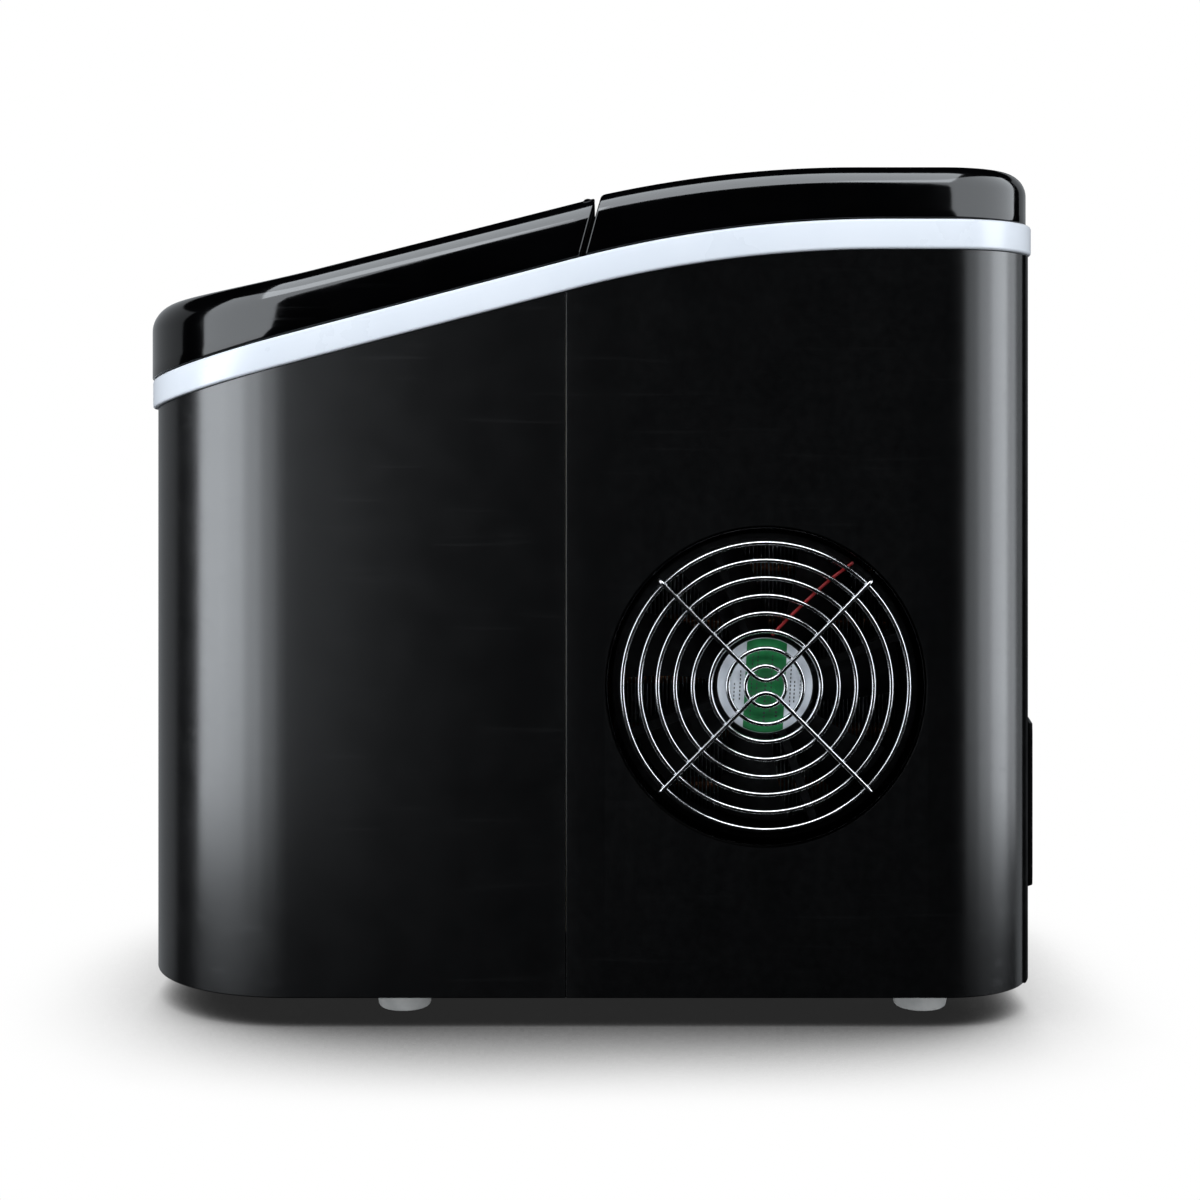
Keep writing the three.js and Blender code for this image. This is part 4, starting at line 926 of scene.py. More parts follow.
# The control panel's place on the cover, with its holes at X along the panel
PANEL_Y = 45 * MM
PANEL_RECT = Rect(-62 * MM, 62 * MM, PANEL_Y - 21 * MM, PANEL_Y + 21 * MM, 8 * MM)
PANEL_CENTRE = Vector((0, PANEL_Y))
PANEL_TILT = math.atan((COVER_LEVEL_Y - PANEL_Y) / COVER_RADIUS)
PANEL_PLACE = (Matrix.Translation((0, PANEL_Y, cover_crown(PANEL_Y)))
               @ Matrix.Rotation(PANEL_TILT, 4, "X"))
BUTTON_X = {"power_button": 44 * MM, "select_button": 22 * MM}
LENS_X = [(-52 + 12 * i) * MM for i in range(5)]

cover_outer = crown_outside(False, cover_crown, 0.0)
cover_top = [(x, y) for x, y, _ in cover_outer[-1]]
panel_edge = PANEL_RECT.ring(cover_top, 0.8 * MM, PANEL_CENTRE)
cover_field = [raised(lerp_plan(cover_top, panel_edge, k / 8), cover_crown) for k in range(1, 8)]
recess_rings = rect_rings(PANEL_RECT, cover_top, PANEL_CENTRE, cover_crown, [
    (0.8, 0), (0.45, -0.1), (0.3, -0.4), (0.3, -1.2),
])
recess_floor = shrunk_rings(PANEL_RECT, cover_top, PANEL_CENTRE, cover_crown, (0.3, -1.2), (0.3, 0.6, 0.9))
cover_inner = crown_inside(False, cover_crown, 0.0)
cover_inner_plan = [(x, y) for x, y, _ in cover_inner[0]]
cover_ceiling = [
    raised(toward_centre(cover_inner_plan, PANEL_CENTRE, s), above(cover_crown, -CROWN_WALL))
    for s in (0.96, 0.7, 0.45, 0.2)
]
cover_rings = cover_ceiling + cover_inner + cover_outer + cover_field + recess_rings + recess_floor
rear_cover = mesh_object("gloss_rear_cover", *bridge(cover_rings), 38)


def on_panel(made):
    """Moves an object from the origin to the control panel."""
    made.data.transform(PANEL_PLACE)
    return made


def panel_cutters():
    """Cutters for the buttons' and the lenses' holes."""
    spots = [(x, 7.9 * MM, 48) for x in BUTTON_X.values()] + [(x, 2.65 * MM, 24) for x in LENS_X]
    return [
        on_panel(merge("hole", [turned([(r, -0.02), (r, 0.02)], "z", (x, 0, 0), sides)]))
        for x, r, sides in spots
    ]


put(carve(rear_cover, panel_cutters(), 38), GLOSS, "cabinet", "crown_gloss", "rear_cover")

overlay_rings = plate_rings(PANEL_RECT, cover_top, PANEL_CENTRE, cover_crown, (-0.3, -1.0), [
    (0.0, -0.8), (0.0, -0.4), (-0.12, -0.18), (-0.4, -0.1),
])
overlay = mesh_object("control_plate", *bridge(overlay_rings), 38)
put(carve(overlay, panel_cutters(), 38), GLOSS, "cabinet", "crown_gloss", "control_overlay")

# Turned pieces are drawn as (radius, along) profiles in millimetres
BUTTON_PROFILE = [(3, -9), (3, -4.4), (9, -4.4), (9, -3), (7.5, -3), (7.5, 0.3), (7.42, 0.55), (7.2, 0.74),
                  (6.8, 0.8), (6.3, 0.76), (5.2, 0.6), (3.5, 0.46), (1.6, 0.38)]
for node, body in (("power_button", "power_key"), ("select_button", "select_key")):
    cap = turned(in_mm(BUTTON_PROFILE), "z", (BUTTON_X[node], 0, 0), 64)
    key = on_panel(merge(node + "_cap", [cap]))
    put(key, BUTTON, body, "button_plastic", node)
LENS_PROFILE = [(2.25, -4), (2.25, -0.35), (2.12, -0.12), (1.8, 0.03), (1.2, 0.08), (0.5, 0.1)]
for i, x in enumerate(LENS_X):
    lens = on_panel(merge(f"status_lens_{i + 1}", [turned(in_mm(LENS_PROFILE), "z", (x, 0, 0), 32)]))
    put(lens, LENS, "cabinet", "lens_clear", f"indicator_lens_{i + 1}")

# ---------------------------------------------------------------- side fan and its guard

FAN_CENTRE = (0, FAN_Y, FAN_Z)
ring_profile = [(59.4, 0.6), (59.4, 23.4), (58.8, 24), (56.9, 24), (56, 23.1), (56, 14), (55.6, 11),
                (56, 8), (56, 0.9), (56.9, 0), (58.8, 0)]
ring_part = turned(in_mm(ring_profile, FAN_BACK), "x", FAN_CENTRE, 128, closed=True)
plate_profile = [(19.2, -2.5), (19.2, -0.5), (18.9, -0.15), (18.5, 0), (16, 0), (1, 0)]
plate_part = turned(in_mm(plate_profile, FAN_FACE), "x", FAN_CENTRE, 96)
fan_frame = merge("fan_ring", [ring_part, plate_part])


def spoke(angle, inner, outer, half, x0, x1):
    """A straight strut of the fan frame, as points and faces."""
    points, faces = block(x0, x1, inner, outer, -half, half)
    turn = Matrix.Translation(FAN_CENTRE) @ Matrix.Rotation(math.radians(angle), 4, "X")
    return [turn @ Vector(p) for p in points], faces


spokes = merge("spokes", [
    spoke(a, 18.5 * MM, 57 * MM, 1.75 * MM, FAN_FACE - 3.7 * MM, FAN_FACE - 0.3 * MM)
    for a in (20, 110, 200, 290)
])
fan_frame = join_objects(fan_frame, soften(spokes, 0.6 * MM, 3))
put(fan_frame, MOULDED, "cabinet", "moulded_black", "fan_frame")


def blade(turn):
    """One twisted blade of the rotor, thick at the root and thin at the tip."""
    rings = []
    for k in range(13):
        share = k / 12
        radius = (17.8 + 36.0 * share) * MM
        chord = (24 + 7 * share) * MM
        twist = math.radians(52 - 20 * share)
        thick = (2.3 - 1.1 * share) * MM
        sweep_back = 9 * MM * share ** 1.6
        ring = []
        for j in range(20):
            a = 2 * math.pi * j / 20
            along = chord / 2 * math.cos(a)
            camber = 2.2 * MM * (1 - (2 * along / chord) ** 2)
            across = thick / 2 * math.sin(a) + camber
            tangent = along * math.cos(twist) - across * math.sin(twist) + sweep_back
            axial = along * math.sin(twist) + across * math.cos(twist)
            bend = tangent / radius
            place = Vector((FAN_BACK + 12 * MM + axial * 0.62,
                            radius * math.cos(bend), radius * math.sin(bend)))
            ring.append(Matrix.Translation(FAN_CENTRE) @ Matrix.Rotation(turn, 4, "X") @ place)
        rings.append(ring)
    return bridge(rings)


hub_profile = [(17.6, 3), (18.7, 4), (18.7, 18), (18.2, 19), (17.2, 19.5), (2, 19.5)]
hub_part = turned(in_mm(hub_profile, FAN_BACK), "x", FAN_CENTRE, 96)
BLADES = 7
rotor = merge("fan_wheel", [hub_part] + [blade(2 * math.pi * i / BLADES) for i in range(BLADES)])
put(rotor, MOULDED, "fan", "moulded_black", "fan_rotor")

label_low, label_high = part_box("fan_motor_label")
LABEL_RADIUS = (label_high.y - label_low.y) / 2
label_profile = [(LABEL_RADIUS - 0.1 * MM, label_low.x), (LABEL_RADIUS, label_low.x + 0.1 * MM),
                 (LABEL_RADIUS, label_high.x - 0.18 * MM),
                 (LABEL_RADIUS - 0.12 * MM, label_high.x - 0.08 * MM),
                 (2 * MM, label_high.x - 0.08 * MM)]
label = merge("motor_label", [turned(label_profile, "x", FAN_CENTRE, 96)])
put(label, FOIL, "cabinet", "foil_label", "fan_motor_label")
LABEL_TURN = Matrix.Translation(FAN_CENTRE) @ Matrix.Rotation(math.radians(-3), 4, "X")
# The label's green stripe
BAND_HALF = 7.75 * MM
stripe = []
for y in np.linspace(-BAND_HALF, BAND_HALF, 17):
    reach = math.sqrt((LABEL_RADIUS - 0.15 * MM) ** 2 - y ** 2)
    stripe.append([
        LABEL_TURN @ Vector(p)
        for x in (label_high.x - 0.1 * MM, label_high.x - 0.03 * MM)
        for p in ([(x, y, -reach), (x, y, reach)] if x < label_high.x - 0.05 * MM
                  else [(x, y, reach), (x, y, -reach)])
    ])
green = mesh_object("motor_label_band", *bridge(stripe))
put(green, GREEN, "cabinet", "foil_label")
# Plain dashes where the print would be: depth, start, end and width in millimetres
rules = []
for y, z0, z1, width in ((-5.2, -12, 11, 0.5), (-3.2, -9, 13, 0.5), (0.2, -14, 3, 0.8), (2.4, -10, 12, 0.5),
                         (4.8, -12, -5, 0.9), (4.8, 2, 7, 0.9), (9.8, -9, 9, 0.45), (11.4, -6, 2, 0.45),
                         (13.6, -7, 7, 0.3), (-9.6, -6, 5, 0.45), (-11.8, -8, 1, 0.4)):
    for z in np.arange(z0, z1, 1.5):
        points, faces = block(label_high.x - 0.09 * MM, label_high.x - 0.01 * MM, (y - width / 2) * MM,
                              (y + width / 2) * MM, z * MM, (z + 0.8) * MM)
        rules.append(([LABEL_TURN @ Vector(p) for p in points], faces))
put(merge("motor_label_ticks", rules), PRINT, "cabinet", "foil_label")

# The red lead, in millimetres from the middle of the fan's face
LEAD_POINTS = [(1.4, 2.5, 19.5), (1.6, 12, 29), (1.4, 24, 40), (0.9, 34, 47.5)]
lead_path = smooth_path([
    (FAN_FACE + x * MM, FAN_Y + y * MM, FAN_Z + z * MM) for x, y, z in LEAD_POINTS
], 12)
put(merge("fan_wire", [tube(lead_path, 0.62 * MM, 16)]), RED, "cabinet", "lead_red", "fan_lead")

GUARD_X = 117.6 * MM
WIRE = 0.9 * MM
# Guard rings: how many, the smallest radius and the step between them, in millimetres
GUARD_RINGS, GUARD_INNER, GUARD_STEP = 8, 7.8, 6.77
guard_parts = []
for i in range(GUARD_RINGS):
    radius = (GUARD_INNER + GUARD_STEP * i) * MM
    section = [
        (radius + WIRE * math.cos(a), GUARD_X + WIRE * math.sin(a))
        for a in (2 * math.pi * k / 14 for k in range(14))
    ]
    guard_parts.append(turned(section, "x", FAN_CENTRE, 72 + 10 * i, closed=True))
# Two crossing wires hold the rings. Each bends back to the fan's frame at both ends.
CROSS_X = GUARD_X + 1.5 * MM
REACH = 57.5 * MM / math.sqrt(2)
for side in (1, -1):
    corners = [
        (x, FAN_Y + y, FAN_Z + side * z)
        for x, y, z in (
            (FAN_FACE + 1.3 * MM, -REACH, REACH),
            (CROSS_X, -REACH, REACH),
            (CROSS_X, 0, -0.5 * MM),
            (CROSS_X, REACH, REACH),
            (FAN_FACE + 1.3 * MM, REACH, REACH),
        )
    ]
    bent = rounded_path(corners[:3], 2.2 * MM)[:-1]
    valley = rounded_path(corners[1:4], 8.2 * MM, 14)[1:-1]
    last = rounded_path(corners[2:], 2.2 * MM)[1:]
    guard_parts.append(tube(bent + valley + last, WIRE, 14))
guard = merge("wire_guard", guard_parts, 60)
put(guard, CHROME, "cabinet", "guard_wire", "fan_guard")

# ---------------------------------------------------------------- condenser behind the fan

cond_low, cond_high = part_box("condenser")
FIN_FRONT, FIN_REAR = cond_low.y + 5.5 * MM, cond_high.y - 5.5 * MM
FIN_STEP, FIN_HALF, FIN_WAVE = 1.55 * MM, 0.09 * MM, 0.16 * MM
fins = []
fin_count = int((FIN_REAR - FIN_FRONT) / FIN_STEP)
for i in range(fin_count):
    y = FIN_FRONT + (FIN_REAR - FIN_FRONT) * i / (fin_count - 1)
    ruffle = []
    for k in range(9):
        x = cond_low.x + (cond_high.x - cond_low.x) * k / 8
        bow = FIN_WAVE * (1 if k % 2 else -1)
        ruffle.append([(x, y + bow + t, z) for t, z in (
            (-FIN_HALF, cond_low.z), (FIN_HALF, cond_low.z),
            (FIN_HALF, cond_high.z), (-FIN_HALF, cond_high.z))])
    fins.append(bridge(ruffle))
for y in (FIN_FRONT - 0.9 * MM, FIN_REAR + 0.1 * MM):
    fins.append(block(cond_low.x, cond_high.x, y, y + 0.8 * MM, cond_low.z, cond_high.z))
condenser = merge("condenser_fins", fins, 20)
put(condenser, ALUMINIUM, "cabinet", "bare_aluminium", "condenser")
# The coil: straight rows joined by half turns
ROWS = [z * MM for z in (86, 108, 130, 152, 174)]
ROW_X = 76 * MM
serpentine = []
for i, z in enumerate(reversed(ROWS)):
    ends = [FIN_REAR + 1 * MM, FIN_FRONT - 1 * MM]
    if i % 2:
        ends.reverse()
    serpentine += [Vector((ROW_X, ends[0], z)), Vector((ROW_X, ends[1], z))]
    if i < len(ROWS) - 1:
        z_next = ROWS[-2 - i]
        bulge = -1 if i % 2 == 0 else 1
        for a in np.linspace(0, math.pi, 13)[1:-1]:
            serpentine.append(Vector((
                ROW_X, ends[1] + bulge * 3.6 * MM * math.sin(a),
                (z + z_next) / 2 + (z - z_next) / 2 * math.cos(a))))
put(merge("condenser_coil", [tube(serpentine, 3.1 * MM, 16)]), COPPER, "cabinet", "copper_tube")

# ---------------------------------------------------------------- feet, rear vent, inlet and drain

FOOT_PROFILE = [(7.5, 0.5), (8.2, 0.0), (9.4, 0.1), (10.1, 0.7), (10.4, 1.6), (10.6, 3), (10.9, 5),
                (11.3, 7.6), (11.7, 9.2), (12, 10), (12, 10.7)]
for node in ("foot_front_right", "foot_front_left", "foot_rear_right", "foot_rear_left"):
    x, y, _ = centre_of(*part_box(node))
    foot = merge(node + "_pad", [turned(in_mm(FOOT_PROFILE), "z", (x, y, 0), 64)])
    put(foot, RUBBER, "cabinet", "foot_rubber", node)


# The rear vent: a rounded frame with two uprights, and slanted slats between them
vent_x0, vent_x1, vent_z0, vent_z1 = vent_low.x, vent_high.x, vent_low.z, vent_high.z
vent_rim = [(0, vent_low.y + 6 * MM), (0, vent_high.y - 0.5 * MM), (-0.5 * MM, vent_high.y),
            (-9 * MM, vent_high.y), (-9.5 * MM, vent_high.y - 0.5 * MM), (-9.5 * MM, vent_low.y + 6 * MM)]
vent_rect = Rect(vent_x0, vent_x1, vent_z0, vent_z1, 3 * MM)
vent_guide = [
    (vent_rect.centre.x + math.cos(a), vent_rect.centre.y + math.sin(a))
    for a in np.linspace(0, 2 * math.pi, 160, endpoint=False)
]
rings = [[(x, y, z) for x, z in vent_rect.ring(vent_guide, margin)] for margin, y in vent_rim]
vent_parts = [bridge(rings, closed=True)]
for column in (-27.2, 27.2):
    vent_parts.append(block((column - 1.8) * MM, (column + 1.8) * MM,
                            vent_high.y - 2.2 * MM, vent_high.y - 0.1 * MM,
                            vent_z0 + 9 * MM, vent_z1 - 9 * MM))
vent = merge("rear_vent_frame", vent_parts)
SLATS, SLAT_STEP, SLAT_THICK = 10, 4.8 * MM, 0.9 * MM
SLAT_RISE, SLAT_RUN = 3.0 * MM, 2.1 * MM
slats = []
for k in range(SLATS):
    y, z = vent_high.y - 2.6 * MM, vent_z0 + 12.5 * MM + k * SLAT_STEP
    section = [(y, z), (y + SLAT_RUN, z - SLAT_RISE), (y + SLAT_RUN, z - SLAT_RISE + SLAT_THICK),
               (y, z + SLAT_THICK)]
    rings = [[(x, yy, zz) for yy, zz in section] for x in (vent_x0 + 9 * MM, vent_x1 - 9 * MM)]
    slats.append(bridge(rings))
vent = join_objects(vent, soften(merge("slats", slats), 0.2 * MM, 2))
put(vent, MOULDED, "cabinet", "moulded_black", "rear_vent_grille")

# The mains inlet: a flange and a body, with a socket cut into them and three pins
inlet_x, _, inlet_z = centre_of(inlet_low, inlet_high)
inlet = merge("inlet_flange", [
    block(inlet_low.x, inlet_high.x, inlet_high.y - 1.1 * MM, inlet_high.y, inlet_low.z, inlet_high.z),
    block(inlet_low.x + 3 * MM, inlet_high.x - 3 * MM, inlet_low.y, inlet_high.y - 0.6 * MM,
          inlet_low.z + 3 * MM, inlet_high.z - 3 * MM),
])
carve(inlet, [hole_box(inlet_low.x + 5 * MM, inlet_high.x - 5 * MM, inlet_low.y + 6 * MM, 0.2,
                       inlet_low.z + 5 * MM, inlet_high.z - 5 * MM)])
soften(inlet, 0.5 * MM, 3)
put(inlet, MOULDED, "cabinet", "moulded_black", "power_inlet")
pins = merge("inlet_pins", [
    block(inlet_x + (x - 1) * MM, inlet_x + (x + 1) * MM, inlet_low.y + 5 * MM, inlet_high.y - 3 * MM,
          inlet_z - 2 * MM, inlet_z + 2 * MM)
    for x in (-6.5, 0, 6.5)
])
put(soften(pins, 0.4 * MM, 2), STEEL, "cabinet", "plated_steel")

# Cross-head screws in the back
SCREW = [(0.8, -0.9), (3.0, -0.9), (3.2, -0.7), (3.1, -0.3), (2.6, 0.1), (1.8, 0.35), (0.9, 0.45)]
screw_face = HALF_DEPTH + BACK_PROUD + 0.45 * MM
screws = []
for x, z in ((-80, 20), (80, 20), (-80, 150), (80, 150), (-80, 272), (80, 272), (0, 272), (0, 20)):
    head = merge("screw", [turned(in_mm(SCREW), "y", (x * MM, screw_face, z * MM), 40)])
    cross = []
    for wide, tall in ((1.7, 0.32), (0.32, 1.7)):
        cross.append(hole_box((x - wide) * MM, (x + wide) * MM, screw_face - 0.2 * MM, screw_face + 2 * MM,
                              (z - tall) * MM, (z + tall) * MM))
    screws.append(carve(head, cross))
screws[0].name = "rear_screws"
put(join_objects(*screws), STEEL, "cabinet", "plated_steel")

drain_centre = (0, DRAIN_Y, DRAIN_Z)
cap_profile = [(4.8, -107), (4.8, -112.6), (13.0, -112.6), (13.5, -113.1), (13.5, -114.5), (12.9, -115.3),
               (10.5, -115.4), (1, -115.4)]
cap_disc = merge("drain_closure", [turned(in_mm(cap_profile), "x", drain_centre, 72)])
grip = merge("grip", [block(drain_low.x, -115 * MM, DRAIN_Y - 11 * MM, DRAIN_Y + 11 * MM,
                            DRAIN_Z - 2.2 * MM, DRAIN_Z + 2.2 * MM)])
put(join_objects(cap_disc, soften(grip, 1.0 * MM, 4)), MOULDED, "drain_closure", "moulded_black", "drain_cap")

# ---------------------------------------------------------------- ice chamber

LINER_INSET = 13 * MM
LINER_WALL = 2 * MM
LINER_BACK_Y = -10 * MM
LINER_FLOOR_Z = 48 * MM


def vessel_ring(inset, rear_y, height, corner):
    """A ring of a vessel that follows the front of the cabinet, with a straight rear side."""
    return raised(closed_plan(front_half(-inset, rear_y, 0.0, corner), 31), height)


def vessel(name, inset, rear_y, floor_z, top, thick, corner, fillet, rim):
    """An open vessel with rounded floor edges and a rolled rim."""
    centre = (0, (rear_y - HALF_DEPTH + inset) / 2)
    outer, inner = [], []
    for a in np.linspace(0, math.pi / 2, 6):
        pull, lift = fillet * (1 - math.sin(a)), fillet * (1 - math.cos(a))
        outer.append(vessel_ring(inset + pull, rear_y - pull, level(floor_z + lift), corner))
        inner.append(vessel_ring(inset + thick + pull, rear_y - thick - pull,
                                 level(floor_z + thick + lift), corner))
    under = [[(x, y, floor_z) for x, y in toward_centre([(p[0], p[1]) for p in outer[0]], centre, s)]
             for s in (0.9, 0.6, 0.3)]
    bed = [[(x, y, floor_z + thick) for x, y in toward_centre([(p[0], p[1]) for p in inner[0]], centre, s)]
           for s in (0.3, 0.6, 0.9)]
    waist = between(level(floor_z + fillet), top, 0.5)
    outer.append(vessel_ring(inset, rear_y, waist, corner))
    rims = [vessel_ring(inset, rear_y, above(top, -rim), corner)]
    for a in np.linspace(0, math.pi, 7):
        swell = thick / 2 * (1 - math.cos(a))
        lip_height = above(top, -thick / 2 + thick / 2 * math.sin(a))
        rims.append(vessel_ring(inset + swell, rear_y - swell, lip_height, corner))
    rims.append(vessel_ring(inset + thick, rear_y - thick, above(top, -rim), corner))
    rims.append(vessel_ring(inset + thick, rear_y - thick, waist, corner))
    rings = under + outer + rims + list(reversed(inner)) + bed
    return mesh_object(name, *bridge(rings), 38)


liner = vessel("chamber_liner", LINER_INSET, LINER_BACK_Y, LINER_FLOOR_Z, above(band_bottom, 1.5 * MM),
               LINER_WALL, 7 * MM, 7 * MM, 4 * MM)
# Where the cooling tubes and the water hose pass through the liner's rear wall
PIPE_X, PIPE_Z, HOSE_X, HOSE_Z = 40 * MM, 252 * MM, 20 * MM, 236 * MM
carve(liner, [
    hole_y(PIPE_X, PIPE_Z, 4 * MM, -0.03, 0.02),
    hole_y(-PIPE_X, PIPE_Z, 5 * MM, -0.03, 0.02),
    hole_y(HOSE_X, HOSE_Z, 6 * MM, -0.03, 0.02),
    hole_x(DRAIN_Y, DRAIN_Z, 5 * MM, -0.12, -0.1, 32),
], 38)
basket_low, basket_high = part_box("ice_basket")
rests = merge("rests", [
    block(*sorted((side * 94 * MM, side * 104.5 * MM)), -118 * MM, -94 * MM, basket_low.z - 6 * MM,
          basket_low.z - 0.3 * MM)
    for side in (1, -1)
])
put(join_objects(liner, soften(rests, 1.2 * MM, 3)), LINER, "cabinet", "liner_plastic", "inner_liner")

# The ice basket has slots in its floor, a dip in its rear rim and slits beside the dip
basket = vessel("ice_bin", 19 * MM, basket_high.y, basket_low.z, level(basket_high.z),
                2 * MM, 7 * MM, 6 * MM, 4 * MM)
cutters = [
    hole_box((x - 9) * MM, (x + 9) * MM, -142 * MM, -98 * MM, 80 * MM, 100 * MM)
    for x in (-60, -30, 0, 30, 60)
]
cutters.append(hole_box(-40 * MM, 40 * MM, basket_high.y - 5 * MM, basket_high.y + 5 * MM,
                        basket_high.z - 26 * MM, basket_high.z + 10 * MM))
for x in np.arange(-72, 73, 12):
    if abs(x) > 46:
        cutters.append(hole_box((x - 2) * MM, (x + 2) * MM, basket_high.y - 6 * MM, basket_high.y + 6 * MM,
                                112 * MM, 172 * MM))
put(soften(carve(basket, cutters, 38), 0.3 * MM, 2, 50), BASKET, "basket", "basket_plastic", "ice_basket")

TRAY_Y, TRAY_Z = -54 * MM, 200 * MM


def sector(inner, outer, start, end, steps=28):
    """Outline in (y, z) of a ring sector about the tray axis, angles from straight down to the rear."""
    first, last = math.radians(start - 90), math.radians(end - 90)
    far = arc(TRAY_Y, TRAY_Z, outer, first, last, steps)
    near = arc(TRAY_Y, TRAY_Z, inner, last, first, steps)
    return far + near


def stretched(outline, x0, x1):
    """A (y, z) outline stretched along X, as points and faces."""
    return bridge([[(x, y, z) for y, z in outline] for x in (x0, x1)])


tray_parts = [stretched(sector(33 * MM, 35 * MM, -62, 62), -62.5 * MM, 62.5 * MM)]
pivots = []
for side in (1, -1):
    x0, x1 = sorted((side * 62 * MM, side * 64 * MM))
    tray_parts.append(stretched(sector(4 * MM, 35 * MM, -62, 62), x0, x1))
    hub = [(5.5, 62), (5.5, 64), (3.1, 64.4), (2.5, 65), (2.5, 71.6), (2.1, 72)]
    pivots.append(turned(in_mm(hub, side=side), "x", (0, TRAY_Y, TRAY_Z), 40))
for x in (-28, 0, 28):
    tray_parts.append(stretched(sector(28 * MM, 33.4 * MM, -50, 50), (x - 0.7) * MM, (x + 0.7) * MM))
tray = join_objects(soften(merge("water_trough", tray_parts), 0.45 * MM, 3), merge("pivots", pivots))
put(tray, LINER, "tray", "liner_plastic", "water_tray")

shovel_parts = [stretched(sector(37 * MM, 39.5 * MM, 60, 104, 16), -66.6 * MM, 66.6 * MM)]
for side in (1, -1):
    x0, x1 = sorted((side * 65 * MM, side * 66.6 * MM))
    shovel_parts.append(stretched(sector(6 * MM, 38 * MM, 64, 100, 12), x0, x1))
shovel = soften(merge("ice_pusher", shovel_parts), 0.5 * MM, 3)
COLLAR = [(2.9, 65), (5.6, 65), (6, 65.3), (6, 66.3), (5.6, 66.6), (2.9, 66.6)]
collars = [
    turned(in_mm(COLLAR, side=side), "x", (0, TRAY_Y, TRAY_Z), 40, closed=True) for side in (1, -1)
]
put(join_objects(shovel, merge("collars", collars)), LINER, "shovel", "liner_plastic", "ice_shovel")

evap_low, evap_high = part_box("evaporator")
HEADER_BOTTOM = 203 * MM
header = soften(merge("freezing_fingers", [block(evap_low.x, evap_high.x, evap_low.y, evap_high.y,
                                                HEADER_BOTTOM, evap_high.z)]), 2.2 * MM, 5)
FINGER_PROFILE = [(5.4, 0.6), (5.4, -0.6), (4.7, -1.4), (4.5, -2.4), (4.5, -24.5), (4.2, -26.5), (3.4, -28),
                  (2.2, -28.8), (1.0, -29)]
fingers = [
    turned(in_mm(FINGER_PROFILE, HEADER_BOTTOM), "z", (x * MM, TRAY_Y + y * MM, 0), 40)
    for x in (-42, -14, 14, 42) for y in (-9, 9)
]
put(join_objects(header, merge("fingers", fingers)), NICKEL, "cabinet", "bare_aluminium", "evaporator")

float_low, float_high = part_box("float_ring")
float_profile = [(3.7, 0.6), (4.3, 0), (11, 0), (12, 1), (12, 5.6), (11.7, 6.1), (12, 6.6), (12, 13),
                 (11, 14), (4.3, 14), (3.7, 13.4)]
x, y, _ = centre_of(float_low, float_high)
float_part = turned(in_mm(float_profile), "z", (x, y, float_low.z), 56, closed=True)
put(merge("float_collar", [float_part]), BASKET, "float", "basket_plastic", "float_ring")

# ---------------------------------------------------------------- machinery

CAN_PROFILE = [(6, 0.2), (20, 0.4), (31, 1.6), (40, 4.4), (47.5, 9.5), (51, 16), (52, 22), (52, 57),
               (52.4, 58.2), (54, 58.6), (54, 63.4), (52.4, 63.8), (52, 65), (52, 98), (51, 105),
               (47.8, 111.5), (41, 117.6), (31, 121.6), (18, 123.6), (6, 124)]
can_centre = (-42 * MM, 92 * MM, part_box("compressor")[0].z)
can = merge("compressor_can", [turned(in_mm(CAN_PROFILE), "z", can_centre, 96)], 30)
put(can, ENAMEL, "cabinet", "compressor_paint", "compressor")

drier_profile = [(1.8, 96.2), (3, 97), (4.2, 98.6), (8.2, 103), (9, 105), (9, 112), (9.15, 112.6), (9, 113.2),
                 (9, 149), (8, 151), (4, 156.6), (3, 158), (1.7, 159)]
drier = merge("drier_body", [turned(in_mm(drier_profile), "z", (40 * MM, 152 * MM, 0), 48)])
put(drier, COPPER, "cabinet", "copper_tube", "filter_drier")

# Tube routes through listed points in millimetres
DISCHARGE = [(-20, 100, 148.4), (-18, 106, 166), (0, 126, 178), (30, 139, 182), (62, 146, 180),
             (74, 143, 177), (76, 134.3, 174)]
SUCTION = [(-58, 88, 148.5), (-58, 84, 175), (-54, 60, 215), (-44, 24, 246), (-40, 0, 252), (-40, -32, 253),
           (-40, -47, 249), (-40, -52, 238), (-40, -52, 211.3)]
CAPILLARY = [(40, 152, 159.5), (40, 152, 178), (41, 144, 206), (44, 90, 240), (42, 30, 252), (40, 0, 252),
             (40, -32, 253), (40, -47, 249), (40, -52, 238), (40, -52, 211.3)]
WATER = [(34, 24, 70.4), (34, 23, 110), (32, 20, 180), (26, 15, 226), (20, 4, 236), (20, -14, 236),
         (20, -20, 233.5)]
for name, node, route, radius, look, slot in (
    ("discharge_line", "discharge_tube", DISCHARGE, 2.4, COPPER, "copper_tube"),
    ("suction_line", "suction_tube", SUCTION, 2.9, COPPER, "copper_tube"),
    ("capillary_line", "capillary_tube", CAPILLARY, 1.5, COPPER, "copper_tube"),
    ("water_line", "water_hose", WATER, 3.9, HOSE, "hose_clear"),
):
    path = smooth_path([tuple(c * MM for c in p) for p in route], 12)
    put(merge(name, [tube(path, radius * MM, 20)]), look, "cabinet", slot, node)

